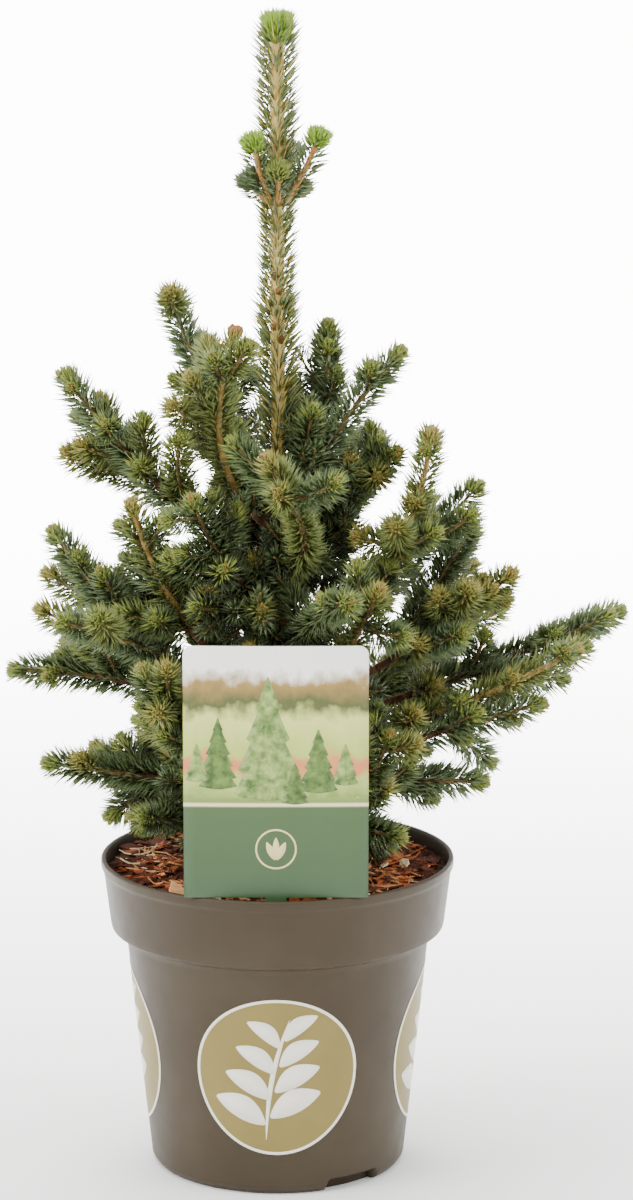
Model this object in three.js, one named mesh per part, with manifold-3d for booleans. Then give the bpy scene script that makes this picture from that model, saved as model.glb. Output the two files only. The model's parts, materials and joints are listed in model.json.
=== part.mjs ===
// A dwarf spruce in a nursery pot: a straight leader over a broad, uneven crown, standing in a
// tapered plastic pot of potting mix, with a plain plant label seated on the front of the rim.
// Millimetres. +Z is up, +X is to the right and -Y towards a viewer in front. The origin is the
// middle of the pot's flat underside. Bearings turn from +X (0) by way of the back, +Y (90).
import * as THREE from "three";
import { mergeVertices } from "three/addons/utils/BufferGeometryUtils.js";
import Module from "manifold-3d";

const wasm = await Module();
wasm.setup();

const UP = new THREE.Vector3(0, 0, 1);
const GAP = 0.3; // between pieces that touch

// The pot: outer radii and heights of its wall, its collar and its rim.
const pot = {
  height: 169,
  wall: 1.6,
  floor: 2.5,
  footRadius: 65.5,
  heel: { radius: 68.4, height: 4 },
  shoulder: { radius: 81.3, height: 125 },
  collarFoot: { radius: 89.3, height: 131 },
  rimRadius: 95,
  facets: 40,
};
const drain = { bearings: [307, 127], halfAngle: 14, depth: 7, height: 7.2 };

// The potting mix: its level, how far it swells at the trunk, and its lumps.
const mix = { level: 161, swell: 3, lump: 1.4, lumpLength: 26, facets: 20 };

// The label: a rounded card that rests on the rim, with a tongue down into the mix.
const label = {
  width: 96,
  height: 134,
  thickness: 0.8,
  corner: 5,
  tongueWidth: 11,
  tongueLength: 31,
  plane: -86,
  cornerSteps: 4,
};

// The trunk, from a flat cut on the mix to its tip under the end bud.
const trunk = {
  foot: mix.level + mix.swell + GAP,
  tip: 613,
  footRadius: 8,
  tipRadius: 2,
  taper: 1.6,
  flare: 4.5,
  flareHeight: 9,
  lean: { x: 3, y: 4, tipX: 0.4 },
  sides: 8,
  rings: 11,
};

// The needled sleeves on the bare leader, and the small whorl of shoots at the upper one's foot.
const sleeve = { wall: 1.7, sides: 7, needleLength: 13, slant: 38, band: 9.5 };
const leader = { foot: 396, whorl: 516, tip: 622, gap: 3 };
// Its rows are length, bearing and rise.
const whorl = [
  [46, 332, 71], [41, 228, 77], [22, 206, 59], [25, 267, 78], [34, 66, 69], [16, 12, 59],
];

// A shoot: a slim four-sided core in bands. A face of a band stays flat, or is drawn out to a
// needle, or bears a side shoot.
const shoot = { rootRadius: 2.1, tipRadius: 1.4, rootBand: 7, band: 15, budLength: 6 };
const needle = { length: 11, slant: 48, girth: 0.9, lines: [0.12, 0.5, 0.88] };

// The branching rule. Side shoots leave in pairs between the first and last node of the main
// shoot. Each pair is shorter than the one before, and a long side shoot has a pair of its own. A
// shoot that comes too near another limb is left out. Room is kept by samples along each limb.
const rule = {
  firstNode: 0.14,
  lastNode: 0.72,
  taper: 0.45,
  jitter: 7,
  lengthJitter: 0.12,
  forwardBend: 0.4,
  lift: 0.12,
  forkFrom: 46,
  forkAt: 0.45,
  forkShare: 0.52,
  tipPairAt: 0.86,
  tipPairShare: 0.17,
  shortest: 12,
  placeWeight: 0.08,
  leastOut: 0.55,
  sampleStep: 5,
  ownRoom: 3.5,
  twinRoom: 5,
  rootRoom: 9,
};
const bough = { sides: 5, tipRadius: 2.1, thickening: 0.011, rings: 3, room: 1.5 };

// The limbs. Each leaves the trunk at a height, on a heading of bearing and rise. It runs bare for
// the length of its bough, and then carries a mass of shoots. The main shoot of the mass has this
// reach and ends on the heading "to". A limb with no bough is needled from the trunk on. An arm is
// a named side shoot: its place on the main shoot, its length, and the heading it ends on. Between
// the arms stand the pairs of the branching rule, which spread by an angle from the main shoot, in
// a plane that is rolled about it. Share is the first pair's length over the reach.
const usual = { pairs: 3, spread: 46, roll: 0, share: 0.45 };
const limbs = {
  left_upper: {
    height: 320, from: [202, 29], bough: 51, to: [179, 55], reach: 115,
    pairs: 4, spread: 64, share: 0.21,
    arms: [
      [0.05, 70, 160, 20], [0.49, 33, 245, 86], [0.59, 22, 167, 58], [0.24, 55, 141, 35],
      [0.25, 60, 280, 49],
    ],
  },
  left_top: {
    height: 336, from: [178, 66], to: [157, 65], reach: 150,
    pairs: 2, spread: 64, roll: -19, share: 0.36,
    arms: [[0.25, 83, 243, 28], [0.42, 56, 104, 43], [0.45, 38, 210, 76], [0.4, 35, 166, 31]],
  },
  left_candle: {
    height: 345, from: [225, 31], to: [24, 69], reach: 157,
    pairs: 2, spread: 43, roll: -50, share: 0.23,
    arms: [[0.55, 23, 57, 46], [0.65, 45, 126, 66], [0.6, 32, 205, 64]],
  },
  right_top: {
    height: 340, from: [33, 59], to: [252, 86], reach: 126,
    pairs: 2, spread: 32, roll: -17, share: 0.16,
    arms: [[0.45, 34, 231, 75], [0.5, 27, 84, 62], [0.45, 33, 322, 74], [0.35, 49, 143, 83]],
  },
  right_high: {
    height: 334, from: [323, 69], to: [358, 47], reach: 135,
    pairs: 2, spread: 52, roll: 23, share: 0.26,
    arms: [[0.25, 45, 314, 67]],
  },
  right_upper: {
    height: 318, from: [54, 35], to: [300, 29], reach: 136, roll: -34, share: 0.24,
    arms: [
      [0.17, 52, 34, 45], [0.25, 46, 49, 44], [0.7, 28, 126, 56], [0.25, 26, 357, 65],
      [0.65, 41, 260, 36],
    ],
  },
  front_mid: {
    height: 325, from: [296, 12], to: [188, 58], reach: 140,
    pairs: 2, spread: 63, roll: 20, share: 0.58,
  },
  left_mid: {
    height: 302, from: [234, 26], to: [230, 63], reach: 111,
    pairs: 4, spread: 63, roll: -64, share: 0.42,
    arms: [
      [0.2, 60, 228, 20], [0.33, 51, 221, 28], [0.3, 24, 184, 41], [0.2, 35, 248, 49],
      [0.55, 36, 253, 61],
    ],
  },
  left_low: {
    height: 253, from: [205, 26], bough: 56, to: [225, 72], reach: 99,
    pairs: 2, spread: 56, roll: -30, share: 0.38,
    arms: [
      [0.56, 27, 270, 59], [0.3, 30, 155, 34], [0.3, 46, 199, 13], [0.35, 33, 121, 49],
      [0.15, 28, 189, 71],
    ],
  },
  left_fan: {
    height: 240, from: [194, 22], bough: 62, to: [191, 58], reach: 109,
    pairs: 2, spread: 32, roll: -28, share: 0.28,
    arms: [
      [0.05, 85, 227, 17], [0.08, 71, 159, 34], [0.35, 28, 82, 43], [0.15, 60, 121, 78],
      [0.25, 36, 168, 61],
    ],
  },
  left_side: {
    height: 221, from: [182, 48], bough: 53, to: [181, -2], reach: 107,
    pairs: 2, spread: 55, roll: 10, share: 0.25,
    arms: [
      [0.5, 56, 281, 56], [0.55, 31, 157, 36], [0.45, 47, 143, 47], [0.25, 41, 290, 16],
      [0.3, 31, 167, 35],
    ],
  },
  left_front: {
    height: 200, from: [238, 8], bough: 37, to: [211, 59], reach: 107,
    pairs: 4, spread: 64, roll: 41, share: 0.38,
    arms: [[0.5, 36, 170, 18], [0.6, 34, 268, 56], [0.55, 46, 276, 75], [0.5, 35, 216, 28]],
  },
  left_bottom: {
    height: 202, from: [189, 9], bough: 30, to: [188, 10], reach: 100,
    pairs: 2, spread: 50, roll: -30, share: 0.18,
    arms: [[0.14, 60, 177, 15], [0.45, 27, 135, 56], [0.2, 27, 167, 42], [0.45, 41, 157, 17]],
  },
  left_droop: {
    height: 183, from: [156, 42], to: [195, -39], reach: 132, spread: 60, roll: 51, share: 0.58,
    arms: [[0.6, 51, 116, 46], [0.35, 43, 215, 51], [0.35, 52, 169, 17], [0.35, 38, 255, 56]],
  },
  left_foot: {
    height: 180, from: [212, 20], to: [174, 25], reach: 61, spread: 42, share: 0.17,
    arms: [[0.12, 42, 211, 19]],
  },
  right_leader: {
    height: 257, from: [343, 30], bough: 60, to: [331, 82], reach: 119,
    pairs: 4, spread: 64, roll: -13, share: 0.18,
    arms: [[0.16, 88, 2, 45], [0.3, 55, 260, 19], [0.25, 30, 359, 55], [0.25, 34, 325, 54]],
  },
  right_out: {
    height: 245, from: [15, 19], bough: 58, to: [329, 41], reach: 97, spread: 39, roll: 67, share: 0.16,
    arms: [[0.44, 50, 285, 33], [0.27, 84, 352, 58], [0.15, 51, 51, 37], [0.1, 58, 304, 18]],
  },
  right_side: {
    height: 236, from: [5, 12], bough: 59, to: [0, 25], reach: 136,
    pairs: 2, spread: 57, roll: 9, share: 0.19,
    arms: [[0.36, 57, 8, -5], [0.65, 60, 340, 29], [0.32, 46, 330, 14], [0.34, 30, 283, 63]],
  },
  right_gold: {
    height: 225, from: [351, 7], bough: 52, to: [341, 32], reach: 125, spread: 57, roll: 8, share: 0.22,
  },
  right_low: {
    height: 210, from: [339, 21], bough: 54, to: [352, 18], reach: 98,
    pairs: 4, spread: 41, roll: 59, share: 0.17,
    arms: [[0.42, 35, 31, -52], [0.38, 43, 27, 21], [0.3, 27, 327, 24]],
  },
  right_bottom: {
    height: 187, from: [346, 32], bough: 51, to: [9, -8], reach: 65,
    pairs: 2, spread: 59, roll: 40, share: 0.16,
    arms: [[0.41, 24, 11, -22], [0.15, 32, 23, 0]],
  },
  right_foot: {
    height: 180, from: [325, 20], to: [288, 57], reach: 120,
    pairs: 4, spread: 53, roll: 51, share: 0.43,
    arms: [[0.4, 61, 23, 71], [0.58, 54, 256, 52], [0.47, 51, 358, 46]],
  },
  front_right: {
    height: 238, from: [308, 35], to: [304, 58], reach: 130, spread: 56, roll: 89, share: 0.51,
  },
  front_centre: {
    height: 275, from: [290, 35], to: [285, 15], reach: 137,
    pairs: 2, spread: 57, roll: 14, share: 0.16,
    arms: [[0.3, 31, 120, 46], [0.1, 44, 311, 37]],
  },
  front_inner: {
    height: 245, from: [252, 30], to: [239, 65], reach: 68, pairs: 4, spread: 37, roll: 16, share: 0.23,
    arms: [[0.55, 51, 271, 16], [0.4, 36, 328, 45], [0.65, 45, 153, 57], [0.2, 26, 258, 17]],
  },
  front_low: {
    height: 200, from: [280, 10], to: [296, 43], reach: 70, pairs: 4, spread: 41, roll: -4, share: 0.24,
    arms: [[0.65, 37, 239, 12], [0.3, 63, 221, 18], [0.6, 41, 265, 30], [0.6, 50, 300, 4]],
  },
  back_low_left: {
    height: 203, from: [140, 12], bough: 45, to: [122, 55], reach: 109,
    spread: 35, roll: 81, share: 0.16,
    arms: [
      [0.75, 54, 173, 39], [0.46, 35, 166, 9], [0.57, 45, 223, 22], [0.4, 28, 122, -1],
      [0.15, 37, 231, 51],
    ],
  },
  back_low: {
    height: 210, from: [95, 14], bough: 45, to: [96, 55], reach: 103,
    pairs: 2, spread: 40, roll: 39, share: 0.21,
  },
  back_low_right: {
    height: 202, from: [45, 12], bough: 45, to: [46, 36], reach: 128,
    pairs: 2, spread: 61, roll: 53, share: 0.22,
    arms: [[0.65, 30, 7, 46], [0.41, 63, 54, 38], [0.69, 61, 80, 26]],
  },
  back_mid_left: {
    height: 262, from: [125, 22], bough: 40, to: [117, 24], reach: 61,
    spread: 62, roll: -75, share: 0.29,
    arms: [[0.45, 53, 143, 10]],
  },
  back_mid_right: {
    height: 268, from: [60, 22], bough: 40, to: [48, 78], reach: 111, pairs: 2, roll: -17, share: 0.34,
  },
  back_left: {
    height: 232, from: [148, 25], to: [139, 65], reach: 86, spread: 40, roll: -9, share: 0.23,
    arms: [[0.39, 67, 139, 44], [0.3, 24, 108, 35], [0.35, 31, 216, 79], [0.61, 35, 81, 25]],
  },
  back_centre: {
    height: 248, from: [96, 26], to: [91, 54], reach: 140, spread: 55, roll: 23, share: 0.2,
    arms: [[0.55, 49, 77, 23], [0.3, 34, 1, 85], [0.39, 30, 106, 38], [0.3, 28, 124, 15]],
  },
  back_right: {
    height: 224, from: [44, 32], to: [21, -4], reach: 131, pairs: 2, spread: 54, roll: -68, share: 0.16,
    arms: [[0.44, 20, 137, -10], [0.65, 92, 41, 41], [0.65, 42, 38, -28], [0.4, 44, 90, 17]],
  },
  back_top: {
    height: 298, from: [92, 32], to: [117, 53], reach: 63, pairs: 2, spread: 38, roll: -33, share: 0.26,
    arms: [[0.74, 40, 131, 8]],
  },
  back_high_left: {
    height: 316, from: [122, 32], to: [127, 41], reach: 79,
    pairs: 4, spread: 47, roll: -86, share: 0.27,
    arms: [[0.3, 57, 256, 82], [0.5, 68, 108, 69]],
  },
  back_high_right: {
    height: 331, from: [58, 38], to: [71, 9], reach: 76, spread: 54, roll: -17, share: 0.2,
    arms: [[0.45, 24, 14, 86]],
  },
};

const paint = (color, roughness, metalness = 0) =>
  new THREE.MeshStandardMaterial({ color, roughness, metalness });
const finish = {
  pot: paint(0x857868, 0.55),
  mix: paint(0x3a2015, 0.95),
  label: paint(0xa9b98c, 0.4),
  bark: paint(0x7a5636, 0.85),
  leaderNeedles: paint(0x7f8f55, 0.6),
  needles: paint(0x3f5a38, 0.6),
};

// Draws from 0 to 1 that repeat for a seed.
function seededDraw(seed) {
  let state = (seed * 2654435761) >>> 0;
  return () => {
    state = (Math.imul(state, 1664525) + 1013904223) >>> 0;
    return state / 4294967296;
  };
}

// The direction with this bearing and rise, in degrees.
function heading([bearing, rise]) {
  const b = THREE.MathUtils.degToRad(bearing);
  const r = THREE.MathUtils.degToRad(rise);
  return new THREE.Vector3(Math.cos(r) * Math.cos(b), Math.cos(r) * Math.sin(b), Math.sin(r));
}

// A bent limb: half its length on the first direction, half on the second, and smooth between.
function bend(start, first, last, length) {
  const knee = start.clone().addScaledVector(first, length / 2);
  const end = knee.clone().addScaledVector(last, length / 2);
  return new THREE.QuadraticBezierCurve3(start, knee, end);
}

// Points, tangents and side vectors along a curve. The side vector starts level, unless one is
// given, and is carried on without twist.
function stations(curve, places, firstSide = null) {
  let side = firstSide;
  return places.map((at) => {
    const point = curve.getPoint(at);
    const along = curve.getTangent(at);
    side = (side ?? new THREE.Vector3().crossVectors(along, UP)).clone();
    side.addScaledVector(along, -side.dot(along)).normalize();
    const over = new THREE.Vector3().crossVectors(side, along);
    const level = new THREE.Vector3().crossVectors(along, UP).normalize();
    const upward = new THREE.Vector3().crossVectors(level, along);
    return { at, point, along, side, over, level, upward };
  });
}

// The closed solid of a list of positions and triangles.
function solidOf(positions, triangles) {
  return new wasm.Manifold(
    new wasm.Mesh({
      numProp: 3,
      vertProperties: new Float32Array(positions.flatMap((p) => [p.x, p.y, p.z])),
      triVerts: new Uint32Array(triangles.flat()),
    }),
  );
}

// The closed solid of a three.js geometry.
function solidOfGeometry(geometry) {
  const bare = new THREE.BufferGeometry();
  bare.setAttribute("position", geometry.getAttribute("position"));
  if (geometry.index) bare.setIndex(geometry.index);
  const merged = mergeVertices(bare, 1e-4);
  return new wasm.Manifold(
    new wasm.Mesh({
      numProp: 3,
      vertProperties: new Float32Array(merged.attributes.position.array),
      triVerts: new Uint32Array(merged.index.array),
    }),
  );
}

// A closed skin over rings of points that have equal counts, with a point at each end.
function skin(rings, endPoint) {
  const sides = rings[0].length;
  const positions = [...rings.flat(), centreOf(rings[0]), endPoint];
  const triangles = [];
  for (let j = 0; j < sides; j++) {
    const next = (j + 1) % sides;
    triangles.push([positions.length - 2, next, j]);
    for (let low = 0; low < (rings.length - 1) * sides; low += sides) {
      const high = low + sides;
      triangles.push([low + j, low + next, high + next], [low + j, high + next, high + j]);
    }
    const top = (rings.length - 1) * sides;
    triangles.push([top + j, top + next, positions.length - 1]);
  }
  return solidOf(positions, triangles);
}

function centreOf(points) {
  const sum = new THREE.Vector3();
  points.forEach((p) => sum.add(p));
  return sum.divideScalar(points.length);
}

// A ring of points round a station. Its points run anticlockwise as seen from the tip.
function ringAt(station, radius, sides, turn) {
  return Array.from({ length: sides }, (_, j) => {
    const angle = ((j + turn) / sides) * 2 * Math.PI;
    return station.point
      .clone()
      .addScaledVector(station.side, Math.cos(angle) * radius)
      .addScaledVector(station.over, -Math.sin(angle) * radius);
  });
}

const evenly = (count, first = 0, last = 1) =>
  Array.from({ length: count + 1 }, (_, i) => first + ((last - first) * i) / count);

// The space that is taken by cores and needles, as capsules that each belong to an owner.
const taken = [];

function take(from, to, radius, owner) {
  const middle = from.clone().add(to).multiplyScalar(0.5);
  taken.push({ line: new THREE.Line3(from, to), radius, owner, middle, half: from.distanceTo(to) / 2 });
}

function isFree(from, to, radius, owner) {
  const line = new THREE.Line3(from, to);
  const middle = from.clone().add(to).multiplyScalar(0.5);
  const half = from.distanceTo(to) / 2;
  return !taken.some((other) => {
    if (other.owner === owner) return false;
    const room = radius + other.radius + GAP;
    if (middle.distanceToSquared(other.middle) > (half + other.half + room) ** 2) return false;
    return line.distanceSqToLine3(other.line) < room ** 2;
  });
}

// Whether a point is clear of the pot's rim, the potting mix and the label.
function clearOfPot(p) {
  const out = Math.hypot(p.x, p.y);
  const overMix = out < pot.rimRadius - 8;
  const floorHeight = overMix ? mix.level + mix.swell + 2 : pot.height + 2.5;
  const overPot = out < pot.rimRadius + 3;
  if (overPot && p.z < floorHeight) return false;
  const besideLabel = Math.abs(p.x) > label.width / 2 + 3 || p.z > pot.height + label.height + 3;
  return besideLabel || Math.abs(p.y - label.plane) > 3;
}

// The trunk's centre line and radius at a height.
function trunkAt(z) {
  const up = (z - trunk.foot) / (trunk.tip - trunk.foot);
  const x = trunk.lean.x * (1 - up) ** 2 + trunk.lean.tipX * up ** 2;
  const y = trunk.lean.y * (1 - up) ** 2;
  const tapered = (trunk.footRadius - trunk.tipRadius) * Math.max(0, 1 - up) ** trunk.taper;
  const flare = trunk.flare * Math.exp(-(z - trunk.foot) / trunk.flareHeight);
  return { point: new THREE.Vector3(x, y, z), radius: trunk.tipRadius + tapered + flare };
}

// The side vectors of a ring that lies level.
const level = { side: new THREE.Vector3(1, 0, 0), over: new THREE.Vector3(0, -1, 0) };

// The trunk's solid, grown by a margin that is used to cut other pieces clear of it.
function trunkSolid(margin) {
  const low = [0, 0.004, 0.012, 0.03, 0.06];
  const heights = [...low, ...evenly(trunk.rings, 0.1, 1)].map(
    (u) => trunk.foot + u * (trunk.tip - trunk.foot),
  );
  const rings = heights.map((z) => {
    const { point, radius } = trunkAt(z);
    return ringAt({ ...level, point }, radius + margin, trunk.sides, 0.5);
  });
  const top = trunkAt(trunk.tip).point.add(new THREE.Vector3(0, 0, 2 + margin));
  return skin(rings, top);
}

// The corners of a face: two on a ring, and two above them on the next.
function cornersOf(s, band, face) {
  const low = s.rings[band];
  const high = s.rings[band + 1];
  const next = (face + 1) % low.length;
  return [low[face], low[next], high[next], high[face]];
}

// How far the rings have turned by ring k, in faces. After the bare bands at the foot every other
// band is twisted by half a face, so that the needles of a shoot look in all directions. Side
// shoots stand on the straight bands.
function turnOf(k, bare) {
  return Math.floor(Math.max(0, k - bare) / 2) / 2;
}

// A shoot along a curve. It stands on a face of its parent if it is given that face's corners.
function shootAlong(curve, length, foot = null) {
  const rootBand = Math.min(shoot.rootBand, length / 3);
  const bud = Math.min(shoot.budLength, length / 3);
  const bands = Math.max(1, Math.round((length - rootBand - bud) / shoot.band));
  const places = [0, ...evenly(bands, rootBand / length, 1 - bud / length)];
  const footSide = foot ? foot[1].clone().sub(foot[0]).add(foot[2]).sub(foot[3]) : null;
  const frames = stations(curve, places, footSide);
  const rings = frames.map((f, k) => {
    const radius = shoot.rootRadius + (shoot.tipRadius - shoot.rootRadius) * f.at;
    return foot && k === 0 ? foot : ringAt(f, radius, 4, 2.5 + turnOf(k, 1));
  });
  return { curve, length, frames, rings, bare: 1, tip: curve.getPoint(1), children: new Map() };
}

// A side shoot on the free face of its parent that lies nearest its place and looks its way.
function sideShoot(parent, { at, first, last, length }) {
  let best = null;
  for (let band = parent.bare; band < parent.rings.length - 1; band += 2) {
    const frame = parent.frames[band];
    const middle = (frame.at + parent.frames[band + 1].at) / 2;
    for (let face = 0; face < parent.rings[band].length; face++) {
      const corners = cornersOf(parent, band, face);
      const out = centreOf(corners).sub(frame.point);
      out.addScaledVector(frame.along, -out.dot(frame.along)).normalize();
      const cost = Math.abs(middle - at) * parent.length * rule.placeWeight - out.dot(first);
      const key = `${band},${face}`;
      if (!parent.children.has(key) && !(cost >= best?.cost)) best = { cost, key, corners, out };
    }
  }
  const short = Math.max(0, rule.leastOut - best.out.dot(first));
  const start = first.clone().addScaledVector(best.out, short).normalize();
  const curve = bend(centreOf(best.corners), start, last, length);
  return { ...shootAlong(curve, length, best.corners), parent, key: best.key };
}

// A left and a right side shoot at a place along a parent, as the headings that they follow.
function pairOn(parent, at, length, spread, roll, draw) {
  const frame = parent.frames.findLast((f) => f.at <= at);
  const along = parent.curve.getTangent(at);
  return [-1, 1].map((hand) => {
    const open = THREE.MathUtils.degToRad(spread + (draw() - 0.5) * 2 * rule.jitter);
    const tilt = THREE.MathUtils.degToRad(roll + (draw() - 0.5) * 2 * rule.jitter);
    const outward = frame.level.clone().multiplyScalar(Math.cos(tilt) * hand);
    outward.addScaledVector(frame.upward, Math.sin(tilt) * hand + rule.lift).normalize();
    const first = along.clone().multiplyScalar(Math.cos(open)).addScaledVector(outward, Math.sin(open));
    const last = first.clone().addScaledVector(along, rule.forwardBend);
    last.addScaledVector(UP, rule.lift).normalize();
    return { at, first, last, length: length * (1 + (draw() - 0.5) * 2 * rule.lengthJitter) };
  });
}

// A named side shoot, which leaves its parent forwards of its own end heading.
function armOn(parent, [at, length, bearing, rise]) {
  const last = heading([bearing, rise]);
  const first = parent.curve.getTangent(at).multiplyScalar(0.6).add(last).normalize();
  return { at, first, last, length };
}

// The limbs that keep room round them, as samples along each.
const samples = [];

function samplesOf(curve, length) {
  return evenly(Math.ceil(length / rule.sampleStep)).map((at) => curve.getPoint(at));
}

function claim(points, room, owner) {
  points.forEach((point) => samples.push({ point, room, owner }));
}

// Keeps a side shoot if it is long enough and has room beyond its root. It then claims that room.
function keepIfRoom(s, shoots) {
  if (s.length < rule.shortest) return false;
  const points = samplesOf(s.curve, s.length);
  const outer = points.filter((p) => p.distanceTo(points[0]) > rule.rootRoom);
  const crowded = outer.some((p) =>
    samples.some((o) => {
      if (o.owner === s.parent) return false;
      const room = o.owner.parent === s.parent ? rule.twinRoom : rule.ownRoom + o.room;
      return o.point.distanceTo(p) < room;
    }),
  );
  if (crowded || !outer.every(clearOfPot)) return false;
  claim(points, rule.ownRoom, s);
  s.parent.children.set(s.key, s);
  shoots.push(s);
  return true;
}

// Adds side shoots on these headings to a mass, and on each long one a pair of its own.
function addShoots({ limb, main, shoots }, headings, draw) {
  const { spread } = { ...usual, ...limb };
  for (const way of headings) {
    const side = sideShoot(main, way);
    if (!keepIfRoom(side, shoots) || side.length < rule.forkFrom) continue;
    for (const fork of pairOn(side, rule.forkAt, side.length * rule.forkShare, spread, 0, draw)) {
      keepIfRoom(sideShoot(side, fork), shoots);
    }
  }
}

// The headings of the pairs along a mass's main shoot, and of the short pair near its tip.
function pairHeadings({ limb, main }, draw) {
  const { pairs, share, spread, roll } = { ...usual, ...limb };
  const along = evenly(pairs - 1).flatMap((step) => {
    const at = rule.firstNode + (rule.lastNode - rule.firstNode) * step;
    return pairOn(main, at, main.length * share * (1 - rule.taper * step), spread, roll, draw);
  });
  const last = pairOn(main, rule.tipPairAt, main.length * rule.tipPairShare, spread, roll, draw);
  return [...along, ...last];
}

// Where a needle that leaves the core between two stations ends.
function needleTipFrom(root, before, after, { length, slant }) {
  const middle = before.point.clone().add(after.point).multiplyScalar(0.5);
  const along = before.along.clone().add(after.along).normalize();
  const out = root.clone().sub(middle);
  out.addScaledVector(along, -out.dot(along)).normalize();
  const angle = THREE.MathUtils.degToRad(slant);
  return root
    .clone()
    .addScaledVector(out, Math.sin(angle) * length)
    .addScaledVector(along, Math.cos(angle) * length);
}

// The tip of the needle on a face, or null if it would come too near another limb or the pot. A
// broad-footed needle is tested along several lines from its foot to its tip.
function needleOn(s, band, face, size) {
  const [a, b, c, d] = cornersOf(s, band, face);
  const tip = needleTipFrom(centreOf([a, b, c, d]), s.frames[band], s.frames[band + 1], size);
  const low = a.clone().add(b).multiplyScalar(0.5);
  const high = c.clone().add(d).multiplyScalar(0.5);
  const feet = needle.lines.map((share) => low.clone().lerp(high, share).lerp(tip, 0.2));
  if (!clearOfPot(tip) || !feet.every((foot) => isFree(foot, tip, needle.girth, s))) return null;
  feet.forEach((foot) => take(foot, tip, needle.girth, s));
  return tip;
}

// The closed body of a shoot and of all that grows out of it. Its skin is in one piece: a side
// shoot takes the place of its face.
function bodyOf(root, size) {
  const positions = [];
  const triangles = [];
  const place = (point) => positions.push(point) - 1;
  const distance = (a, b) => positions[a].distanceTo(positions[b]);
  const grow = (s, foot) => {
    let low = foot;
    for (let band = 0; band < s.rings.length - 1; band++) {
      const high = s.rings[band + 1].map(place);
      low.forEach((a, face) => {
        const next = (face + 1) % low.length;
        const [b, c, d] = [low[next], high[next], high[face]];
        const child = s.children.get(`${band},${face}`);
        const tip = child || band < s.bare ? null : needleOn(s, band, face, size);
        if (child) grow(child, [a, b, c, d]);
        else if (!tip && distance(a, c) < distance(b, d)) triangles.push([a, b, c], [a, c, d]);
        else if (!tip) triangles.push([a, b, d], [b, c, d]);
        else {
          const t = place(tip);
          triangles.push([a, b, t], [b, c, t], [c, d, t], [d, a, t]);
        }
      });
      low = high;
    }
    const end = place(s.tip);
    low.forEach((a, face) => triangles.push([a, low[(face + 1) % low.length], end]));
  };
  const foot = root.rings[0].map(place);
  foot.slice(2).forEach((c, i) => triangles.push([foot[0], c, foot[i + 1]]));
  grow(root, foot);
  return solidOf(positions, triangles);
}

// A sleeve round the trunk between two heights. Above the trunk's tip it narrows to a bud.
function sleeveAlong(low, high) {
  const bands = Math.round((high - low) / sleeve.band);
  const frames = evenly(bands).map((at) => {
    const { point, radius } = trunkAt(low + (high - low) * at);
    return { ...level, at, point, radius, along: UP };
  });
  const rings = frames.map((f, k) => ringAt(f, f.radius + sleeve.wall, sleeve.sides, turnOf(k, 0)));
  const tip = trunkAt(high + (high > trunk.tip ? 4 : 0.01)).point;
  return { length: high - low, frames, rings, bare: 0, tip, children: new Map() };
}

const model = new THREE.Group();

function addMesh(name, solid, material) {
  const { vertProperties, triVerts } = solid.getMesh();
  const geometry = new THREE.BufferGeometry();
  geometry.setAttribute("position", new THREE.BufferAttribute(vertProperties, 3));
  geometry.setIndex(new THREE.BufferAttribute(triVerts, 1));
  geometry.computeVertexNormals();
  const mesh = new THREE.Mesh(geometry, material);
  mesh.name = name;
  model.add(mesh);
}

// The largest body of a solid: a cut can leave a loose scrap.
function largestBody(solid) {
  return solid.decompose().reduce((best, s) => (s.volume() > best.volume() ? s : best));
}

// A solid of revolution about Z, from a closed profile of radius and height.
function turned(profile, facets) {
  const points = profile.map(([radius, height]) => new THREE.Vector2(radius, height));
  return new THREE.LatheGeometry(points, facets).rotateX(Math.PI / 2);
}

// The pot: a turned wall and floor, with drain notches through its heel.
function buildPot() {
  const { wall, floor, heel, shoulder, collarFoot, footRadius, rimRadius, height, facets } = pot;
  const outside = [
    [footRadius, 0],
    [heel.radius, heel.height],
    [shoulder.radius, shoulder.height],
    [collarFoot.radius, collarFoot.height],
    [rimRadius, height - 1],
    [rimRadius - 0.5, height],
  ];
  const inside = [
    [rimRadius - wall, height],
    [collarFoot.radius - wall, collarFoot.height + 1],
    [shoulder.radius - wall, shoulder.height + 1],
    [heel.radius - wall, heel.height + 1],
    [footRadius - 2, floor],
  ];
  const body = turned([[0, 0], ...outside, ...inside, [0, floor]], facets);
  return drain.bearings.reduce((solid, bearing) => {
    const span = 2 * heel.radius * Math.sin(THREE.MathUtils.degToRad(drain.halfAngle));
    const notch = new THREE.BoxGeometry(2 * drain.depth, span, 2 * drain.height);
    notch.translate(heel.radius, 0, 0).rotateZ(THREE.MathUtils.degToRad(bearing));
    return solid.subtract(solidOfGeometry(notch));
  }, solidOfGeometry(body));
}

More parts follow.
